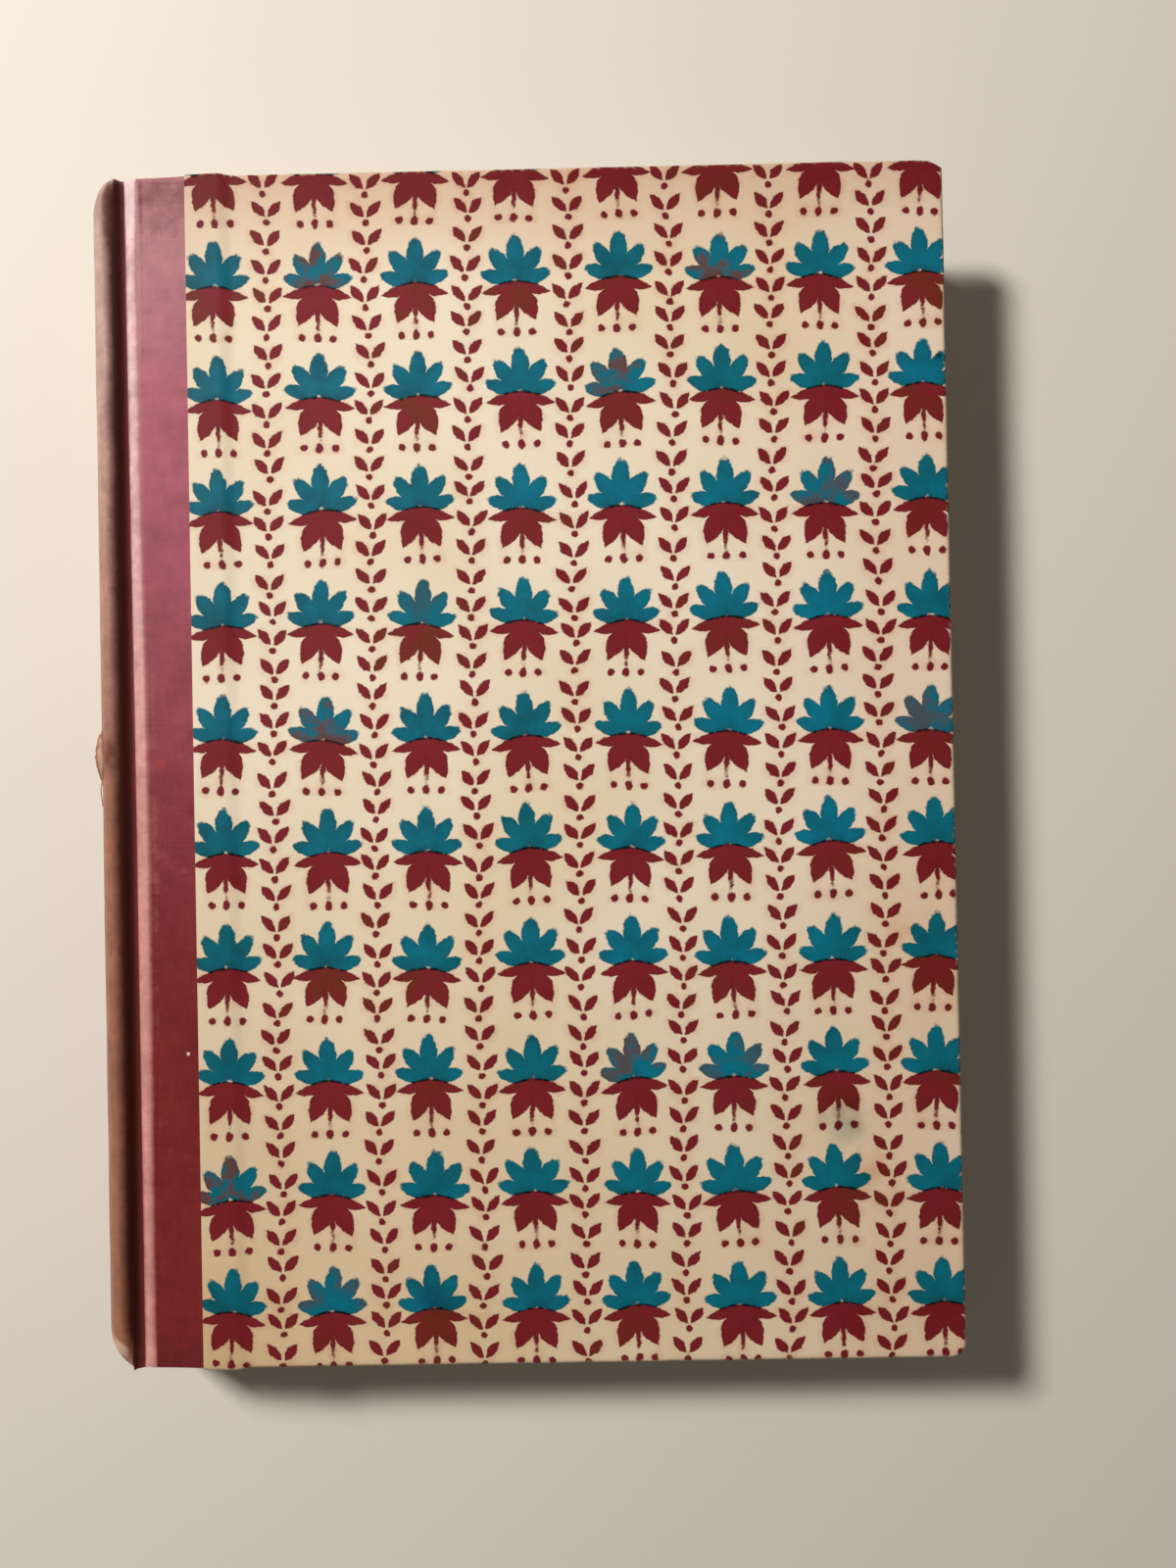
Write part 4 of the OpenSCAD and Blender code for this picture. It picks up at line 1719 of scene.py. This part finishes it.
@dataclass
class Board:
    """The grey board inside one cover, with its edge at the joint pressed round and one corner knocked."""

    binding: Binding
    side: Side
    knocked_r: float = 4.2
    straight_from: float = 24.0

    def build(self, material: Material) -> Object:
        """Makes the board as a stack of outlines.

        Args:
            material: The greyboard.

        Returns:
            The new piece.
        """
        b = self.binding
        draft = Draft(b, self.side)
        low, high = b.z_board + 0.02, b.z_board_top - 0.02
        # Each level: its height, and how far in it lies from the outline and from the edge at the joint.
        levels = [(low, 0.4, 0.2), (low + 0.3, 0.12, 0.1), (low + 1.1, 0.08, 0.12)]
        levels += [(high - 0.95, 0.1, 0.45), (high - 0.5, 0.25, 1.0)]
        levels += [(high - 0.15, 0.55, 2.0), (high, 0.95, 3.0)]
        rings = []
        for z, inset, joint in levels:
            outline = self._outline(inset, joint)
            rings.append([draft.point((x, y, z), (x, y, z)) for x, y in outline])
        draft.skin(rings, closed=True)
        draft.cap(rings[0][::-1])
        draft.cap(rings[-1])
        return draft.build(f"{self.side.word}_greyboard", material)

    def _outline(self, inset: float, joint: float) -> list[Plane]:
        """Outline of one level.

        Args:
            inset: How far it lies inside the board's full outline.
            joint: How far it lies inside the board's edge at the joint.

        Returns:
            Its places, anticlockwise from above.
        """
        b = self.binding
        x0, x1, y1 = b.joint_w + joint, b.x_fore - inset, b.board_h / 2 - inset
        corners = []
        for r, end in ((b.corner_r, -1), (self.knocked_r, 1)):
            turns = spread(0, math.pi / 2, 0.3)[::-end]
            corners += [(x1 - r + r * math.sin(a), end * (y1 - r + r * math.cos(a))) for a in turns]
        soft = y1 - 0.55
        return [(self.straight_from, y1), (x0, soft), (x0, -soft), (self.straight_from, -y1), *corners]


@dataclass
class Pastedown:
    """The half of the endpaper on one board, from the fold on the shoulder to the fore edge."""

    binding: Binding
    side: Side
    edge_drop: float = 0.16

    def _face(self, x: float, y: float) -> float:
        """Level of the paper's free face, as it follows what is glued below it.

        Args:
            x: Place across the board.
            y: Place along it.

        Returns:
            The level.
        """
        b = self.binding
        margin_y = smooth(b.board_h / 2 - b.turn_in - 0.5, b.board_h / 2 - b.turn_in + 0.3, abs(y))
        margin_x = smooth(b.x_fore - b.turn_in - 0.5, b.x_fore - b.turn_in + 0.3, x)
        cloth = b.cloth_t * margin_y * (1 - smooth(b.x_lap - 0.2, b.x_lap + 3.4, x))
        paper = b.side_paper_t * max(margin_y, margin_x) * smooth(b.x_show - 0.5, b.x_show - 0.05, x)
        wing = b.mull_t * (1 - smooth(b.joint_w + b.mull_wing, b.joint_w + b.mull_wing + 0.8, x))
        wing *= 1 - smooth(b.wing_h / 2 - 0.4, b.wing_h / 2 + 0.4, abs(y))
        return b.z_board - b.endpaper_t - max(cloth + paper, wing) + 0.012 * wander(x, y, 1.0, 12.0)

    def build(self, material: Material) -> Object:
        """Makes the sheet.

        Args:
            material: The endpaper.

        Returns:
            The new piece.
        """
        b = self.binding
        draft = Draft(b, self.side)
        joint = [(0.02, b.z_shoulder + b.endpaper_t + 0.02), (0.7, 10.62), (1.4, 10.1)]
        joint += [(2.2, 9.52), (3.0, 9.5), (3.8, 9.58)]
        # Rows and columns lie close along the steps of what is glued below.
        inner_x, inner_y = b.x_fore - b.turn_in, b.board_h / 2 - b.turn_in
        xs = [*spread(4.6, b.x_show - 0.8, 2.2), *spread(b.x_show - 0.5, b.x_show + 0.3, 0.4), 18.0]
        xs += [*spread(b.x_lap - 0.2, b.x_lap + 3.4, 0.6), *spread(28.7, 29.7, 0.35)]
        xs += spread(33.0, inner_x - 2, 6.0)
        xs += [*spread(inner_x - 0.6, inner_x + 0.4, 0.35), *spread(147.5, b.x_leaves, 3.3)]
        ends = [*spread(inner_y - 1.6, inner_y + 0.4, 0.35), 103.0, 107.0, b.leaves_h / 2]
        rows = []
        for y in (*[-y for y in ends[::-1]], *spread(-94.0, 94.0, 6.5), *ends):
            places = [*joint, *[(x, self._face(x, y)) for x in xs]]
            rows.append([draft.point((x, y, z), (x, y, 0.0)) for x, z in places])
        draft.skin(rows, flip=True)
        rim, back = three_sides(rows), []
        for number in rim:
            x, y, z = draft.points[number]
            back.append(draft.point((x, y, z * self.side.value + self.edge_drop), (x, y, 0.2)))
        draft.between(rim, back)
        return draft.build(f"{self.side.word}_pasted_endpaper", material)


@dataclass
class Flyleaf:
    """The free leaf of one endpaper, lying on the leaves and bent up over the shoulder."""

    binding: Binding
    side: Side
    play: float = 0.03

    def build(self, material: Material) -> Object:
        """Makes the leaf.

        Args:
            material: The endpaper.

        Returns:
            The new piece.
        """
        b = self.binding
        draft = Draft(b, self.side)
        places = [(0.0, b.z_shoulder), (0.7, b.z_shoulder - 0.5), (1.5, b.z_shoulder - 1.08)]
        places.append((b.shoulder_run, b.z_leaves))
        places += [(x, b.z_leaves) for x in spread(b.shoulder_run + 1.5, b.x_leaves - 0.15, 6.0)]
        rows, backs = [], []
        for y in spread(-b.leaves_h / 2 + 0.05, b.leaves_h / 2 - 0.05, 7.0):
            row = []
            for x, z in places:
                face = z + b.endpaper_t - self.play + 0.02 * wander(x, y, 7.0, 30.0)
                row.append(draft.point((x, y, face), (x, y, 0.0)))
            rows.append(row)
            backs.append([draft.point((x, y, z + 0.02), (x, y, 0.3)) for x, z in places])
        draft.skin(rows)
        draft.skin(backs, flip=True)
        draft.between(three_sides(backs), three_sides(rows))
        return draft.build(f"{self.side.word}_free_endpaper", material)


@dataclass
class LeafBlock:
    """The sewn leaves: thin layers with uneven trimmed edges, folded in sections at the rounded back."""

    binding: Binding
    layer_mm: float = 0.2
    fold_mm: float = 0.42
    uneven_mm: float = 0.05

    def build(self, material: Material) -> Object:
        """Makes the block.

        Args:
            material: The leaves' edges.

        Returns:
            The new piece.
        """
        b = self.binding
        draft = Draft(b)
        count = round(b.leaves_t / self.layer_mm)
        uneven, end = self.uneven_mm, b.leaves_h / 2 - self.uneven_mm
        for i in range(count):
            low, high = -b.z_leaves + i * self.layer_mm, -b.z_leaves + (i + 1) * self.layer_mm
            middle = (low + high) / 2
            share = (i + 0.5) / count * b.section_count % 1.0
            valley = self.fold_mm * abs(2 * share - 1) ** 3
            front = self._fore(middle) + uneven * wander(middle, 1.0, 0.0, 0.23)
            head = end + uneven * wander(middle, 5.0, 0.0, 0.27)
            tail = -end + uneven * wander(middle, 9.0, 0.0, 0.25)
            self._layer(draft, (low, high), valley, front, (tail, head))
        return draft.build("leaf_block", material, hard_deg=30.0)

    def _fore(self, z: float) -> float:
        """Fore edge of a layer on the hollow.

        Args:
            z: Level of the layer.

        Returns:
            The place of its edge.
        """
        b = self.binding
        radius = (b.z_leaves**2 + b.fore_hollow**2) / (2 * b.fore_hollow)
        return b.x_leaves - b.fore_hollow + radius - math.sqrt(radius**2 - z**2) - 0.03

    def _layer(self, draft: Draft, levels: Plane, valley: float, front: float, ends: Plane) -> None:
        """Adds one layer.

        Args:
            draft: Mesh in the making.
            levels: Its lower and upper level on the flat of the leaves.
            valley: How far its fold lies inside the back.
            front: Its fore edge.
            ends: Its tail and head ends.
        """
        b = self.binding
        tail, head = ends
        # The share of the shoulders' fan at each place; the first lies on the rounded back.
        spots = [(-1.0, 1.0), (0.0, 1.0), (0.8, 0.62), (1.5, 0.3), (b.shoulder_run, 0.0)]
        spots += [(x, 0.0) for x in (12.0, 60.0, 110.0, 150.0, front)]
        fan = b.z_shoulder / b.z_leaves - 1
        loops = []
        for x, lift in spots:
            low, high = [z * (1 + fan * lift) for z in levels]
            x0, x1 = x, x
            if x < 0:
                x0, x1 = [b.back_x - math.sqrt(b.back_r**2 - z**2) + valley + 0.02 for z in (low, high)]
            corners = ((x0, tail, low), (x0, head, low), (x1, head, high), (x1, tail, high))
            loops.append([draft.point(place, place) for place in corners])
        draft.skin(loops, closed=True, flip=True)
        draft.cap(loops[0][::-1])
        draft.cap(loops[-1])


@dataclass
class WorkedBand:
    """A headband: silk worked round a cord in two colours, with its tape glued to the back."""

    binding: Binding
    end: int
    wrap_mm: float = 0.55
    bead_mm: float = 1.5
    bead_sides: int = 12
    groove_share: float = 0.09
    tape_mm: float = 9.0
    tape_faces: Plane = (0.06, 0.28)

    @property
    def limit(self) -> float:
        """Angle from the middle of the back to each end of the band."""
        return self.binding.back_angle - math.radians(7)

    @property
    def y_bead(self) -> float:
        """Level of the bead's middle along the spine."""
        return self.binding.leaves_h / 2 + self.bead_mm / 2 + 0.02

    def build(self, material: Material) -> Object:
        """Makes the band.

        Args:
            material: The silk.

        Returns:
            The new piece.
        """
        b = self.binding
        draft = Draft(b)
        thick = self.bead_mm / 2
        radius = b.back_r - 0.3 - thick
        count = round(2 * self.limit * radius / (self.wrap_mm / 4))
        rings = []
        for i in range(count + 1):
            angle = -self.limit + 2 * self.limit * i / count
            along = angle * radius
            swell = 1 - self.groove_share * (1 + math.cos(2 * math.pi * along / self.wrap_mm)) / 2
            swell *= math.sqrt(clamp((self.limit + 0.02 - abs(angle)) / 0.03, 0.05, 1.0))
            ring = []
            for k in range(self.bead_sides):
                turn = 2 * math.pi * k / self.bead_sides
                x, z = b.on_back(radius + thick * swell * math.cos(turn), angle)
                y = self.end * (self.y_bead + thick * swell * math.sin(turn))
                ring.append(draft.point((x, y, z), (along + 0.2 * math.sin(turn), y, z)))
            rings.append(ring)
        draft.skin(rings, closed=True, flip=self.end < 0)
        draft.cap(rings[0][:: -self.end])
        draft.cap(rings[-1][:: self.end])
        self._tape(draft)
        word = "head" if self.end > 0 else "tail"
        return draft.build(f"{word}_worked_band", material)

    def _tape(self, draft: Draft) -> None:
        """Adds the tape under the bead, glued to the back.

        Args:
            draft: Mesh in the making.
        """
        b = self.binding
        near, far = self.tape_faces
        low, high = self.y_bead - self.tape_mm, self.y_bead
        columns = []
        for angle in spread(-self.limit, self.limit, 0.06):
            column = []
            for reach, y in ((near, low), (far, low), (far, high), (near, high)):
                x, z = b.on_back(b.back_r + reach, angle)
                column.append(draft.point((x, self.end * y, z), (angle * b.back_r, self.end * y, z)))
            columns.append(column)
        draft.skin(columns, closed=True)


@dataclass
class Studio:
    """Pale table, soft window-like key light from the upper left, faint fill, and the camera."""

    binding: Binding
    camera_mm: Point = (14.98, -5.52, 250.3)
    camera_deg: Point = (0.37, 0.419, -1.073)
    focal_px: float = 1200.0
    frame_px: float = 1600.0
    sensor_mm: float = 36.0
    clip_m: float = 0.01
    key_mm: Point = (-500.0, 418.0, 700.0)
    key_size_mm: float = 150.0
    key_watts: float = 10.0
    key_tint: Point = (1.0, 0.975, 0.94)
    fill: float = 0.1
    sky: str = "#fffaf2"
    table: str = "#e0d8cc"
    backdrop: str = "#e9e4dc"
    table_m: float = 8.0
    fade_mm: Plane = (210.0, 430.0)

    def build(self) -> None:
        """Sets up everything that isn't the book."""
        bpy.context.scene.view_settings.view_transform = "Standard"
        self._camera()
        self._key()
        self._world()
        self._table()

    def _camera(self) -> None:
        """Places the camera by the corners of the cover."""
        data = bpy.data.cameras.new("camera")
        data.sensor_width = self.sensor_mm
        data.lens = self.focal_px / self.frame_px * data.sensor_width
        data.clip_start = self.clip_m
        camera = linked("camera", data)
        turn = Euler([math.radians(a) for a in self.camera_deg], "XYZ").to_matrix().to_4x4()
        camera.matrix_world = Matrix.Translation(Vector(self.camera_mm) * MM) @ turn
        bpy.context.scene.camera = camera

    def _key(self) -> None:
        """Places the key light, aimed at the book."""
        data = bpy.data.lights.new("key", "AREA")
        data.shape = "SQUARE"
        data.size = self.key_size_mm * MM
        data.energy = self.key_watts
        data.color = self.key_tint
        light = linked("key", data)
        light.location = Vector(self.key_mm) * MM
        light.rotation_euler = (-light.location).to_track_quat("-Z", "Y").to_euler()

    def _world(self) -> None:
        """Faint even fill for the object, and a pale backdrop for the camera, for gloss and for glass."""
        world = bpy.data.worlds.new("studio")
        world.use_nodes = True
        g = Graph(world.node_tree)
        path = g.add("LightPath")
        rays = ("Camera", "Glossy", "Transmission")
        camera, gloss, glass = (path.outputs[f"Is {ray} Ray"] for ray in rays)
        seen = g.add("Math", (camera, gloss), operation="MAXIMUM")
        seen = g.add("Math", (seen, glass), operation="MAXIMUM")
        fill = g.add("Background", {"Color": linear(self.sky), "Strength": self.fill})
        backdrop = g.add("Background", {"Color": linear(self.backdrop)})
        g.add("OutputWorld", {"Surface": g.add("MixShader", (seen, fill, backdrop))})
        bpy.context.scene.world = world

    def _table(self) -> None:
        """A wide plain table top at the book's foot, which fades into the backdrop further out."""
        g = Graph.surface("pale_table", 0.8)
        g.shader.inputs["Base Color"].default_value = linear(self.table)
        place = g.add("VectorMath", (g.add("TexCoord").outputs["Object"],), operation="LENGTH")
        near, far = (reach * MM for reach in self.fade_mm)
        away = g.add("MapRange", (place, near, far), interpolation_type="SMOOTHSTEP")
        seen = g.add("Math", (away, g.add("LightPath").outputs["Is Camera Ray"]), operation="MULTIPLY")
        glow = g.add("Emission", {"Color": linear(self.backdrop)})
        g.finish(g.add("MixShader", (seen, g.shader, glow)))
        mesh = bpy.data.meshes.new("table")
        size = self.table_m / 2
        corners = [(-size, -size, 0), (size, -size, 0), (size, size, 0), (-size, size, 0)]
        mesh.from_pydata(corners, [], [range(4)])
        mesh.materials.append(g.material)
        linked("table", mesh)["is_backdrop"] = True


def stand_in(piece: Object, slot: str, *nodes: str) -> None:
    """Hides the nodes of the frame that a new piece stands for."""
    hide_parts(*nodes)


@dataclass
class Cover:
    """One cover: greyboard, cloth over the joint, printed paper and endpaper."""

    binding: Binding
    side: Side
    finishes: Finishes
    bend_from: float = 0.3
    cloth_to: float = 3.4
    endpaper_to: float = 3.6

    def build(self) -> None:
        """Makes the cover's pieces, and joins the board, the printed paper and the flyleaf to the frame."""
        b, side, f = self.binding, self.side, self.finishes
        for maker, finish, slot, node, body in (
            (Board, f.greyboard, "board", "board", side.body),
            (SidePaper, f.printed, "side_paper", "side_paper", side.body),
            (Flyleaf, f.endpaper, "endpaper", "flyleaf", BLOCK_BODY),
        ):
            piece = maker(b, side).build(finish)
            stand_in(piece, slot, f"{side.word}_{node}")
            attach(piece, body)
        half = CaseCloth(b, side)
        cloth = half.build(f.cloth, f.bared_and_lit_lining)
        stand_in(cloth, "cloth", f"{side.word}_board_cloth", "spine_cloth")
        self._bend(cloth, self.cloth_to)
        tuple(length * MM for length in half.cut)
        pasted = Pastedown(b, side).build(f.endpaper)
        stand_in(pasted, "endpaper", f"{side.word}_pastedown")
        self._bend(pasted, self.endpaper_to)

    def _bend(self, piece: Object, end: float) -> None:
        """Bakes a sheet's transform into its mesh; the sheet is not bent across the joint between the
        leaves and this cover.

        Args:
            piece: The sheet.
            end: Place across the joint from where it would follow the cover; not used.
        """
        level = self.binding.z_board * self.side.value
        first, last = (self.binding.placed(x, 0.0, level) for x in (self.bend_from, end))
        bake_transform(piece)


@dataclass
class Block:
    """The sewn leaves with their bands, and the hidden linings that keep their CAD shape."""

    binding: Binding
    finishes: Finishes
    # What the mull on the leaves' back is cut to, in metres: round the back, and along it.
    mull_m: Plane = (0.0241, 0.198)

    def build(self, nodes: dict[str, Object]) -> None:
        """Makes the pieces of the block.

        Args:
            nodes: The frame's objects by node name.
        """
        b, f = self.binding, self.finishes
        for maker, finish, slot, node in (
            (LeafBlock(b), f.edges, "pages", "page_block"),
            (SpineCard(b), f.card, "card", "spine_inlay"),
            (WorkedBand(b, 1), f.silk, "band", "head_band"),
            (WorkedBand(b, -1), f.silk, "band", "tail_band"),
        ):
            piece = maker.build(finish)
            stand_in(piece, slot, node)
            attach(piece, BLOCK_BODY)
        wing = (b.mull_wing * MM, b.wing_h * MM)
        for name, cut in (("mull", self.mull_m), ("front_mull_wing", wing), ("back_mull_wing", wing)):
            self._dress(nodes[name], f.mull)
        self._dress(nodes["sewing_thread"], f.linen)
        self._dress(nodes["spine_lining"], f.kraft)

    def _dress(self, piece: Object, material: Material) -> None:
        """Gives a piece of the frame its finish.

        Args:
            piece: The piece.
            material: The finish.
        """
        piece.data.materials.clear()
        piece.data.materials.append(material)
        log.info("%s: dressed in %s", piece.name, material.name)


def write_sizes(cad: Sequence[Any], dressed: Sequence[Any], report: Callable[[str], None]) -> None:
    """Reports the box of the CAD and of the dressed model.

    Args:
        cad: Lowest and highest corner of the CAD.
        dressed: Lowest and highest corner of the dressed model.
        report: Where to report them.
    """
    sizes = {"cad": [list(corner) for corner in cad], "visual": [list(corner) for corner in dressed]}
    report(f"sizes written: {sizes}")


def main() -> None:
    """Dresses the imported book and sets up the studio."""
    logging.basicConfig(level=logging.INFO, format="%(name)s: %(message)s")
    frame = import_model()
    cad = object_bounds()
    binding = Binding()
    finishes = Finishes.made()
    Studio(binding).build()
    Block(binding, finishes).build(frame["nodes"])
    for side in Side:
        Cover(binding, side, finishes).build()
    write_sizes(cad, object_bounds(), log.info)


if __name__ == "__main__":
    main()
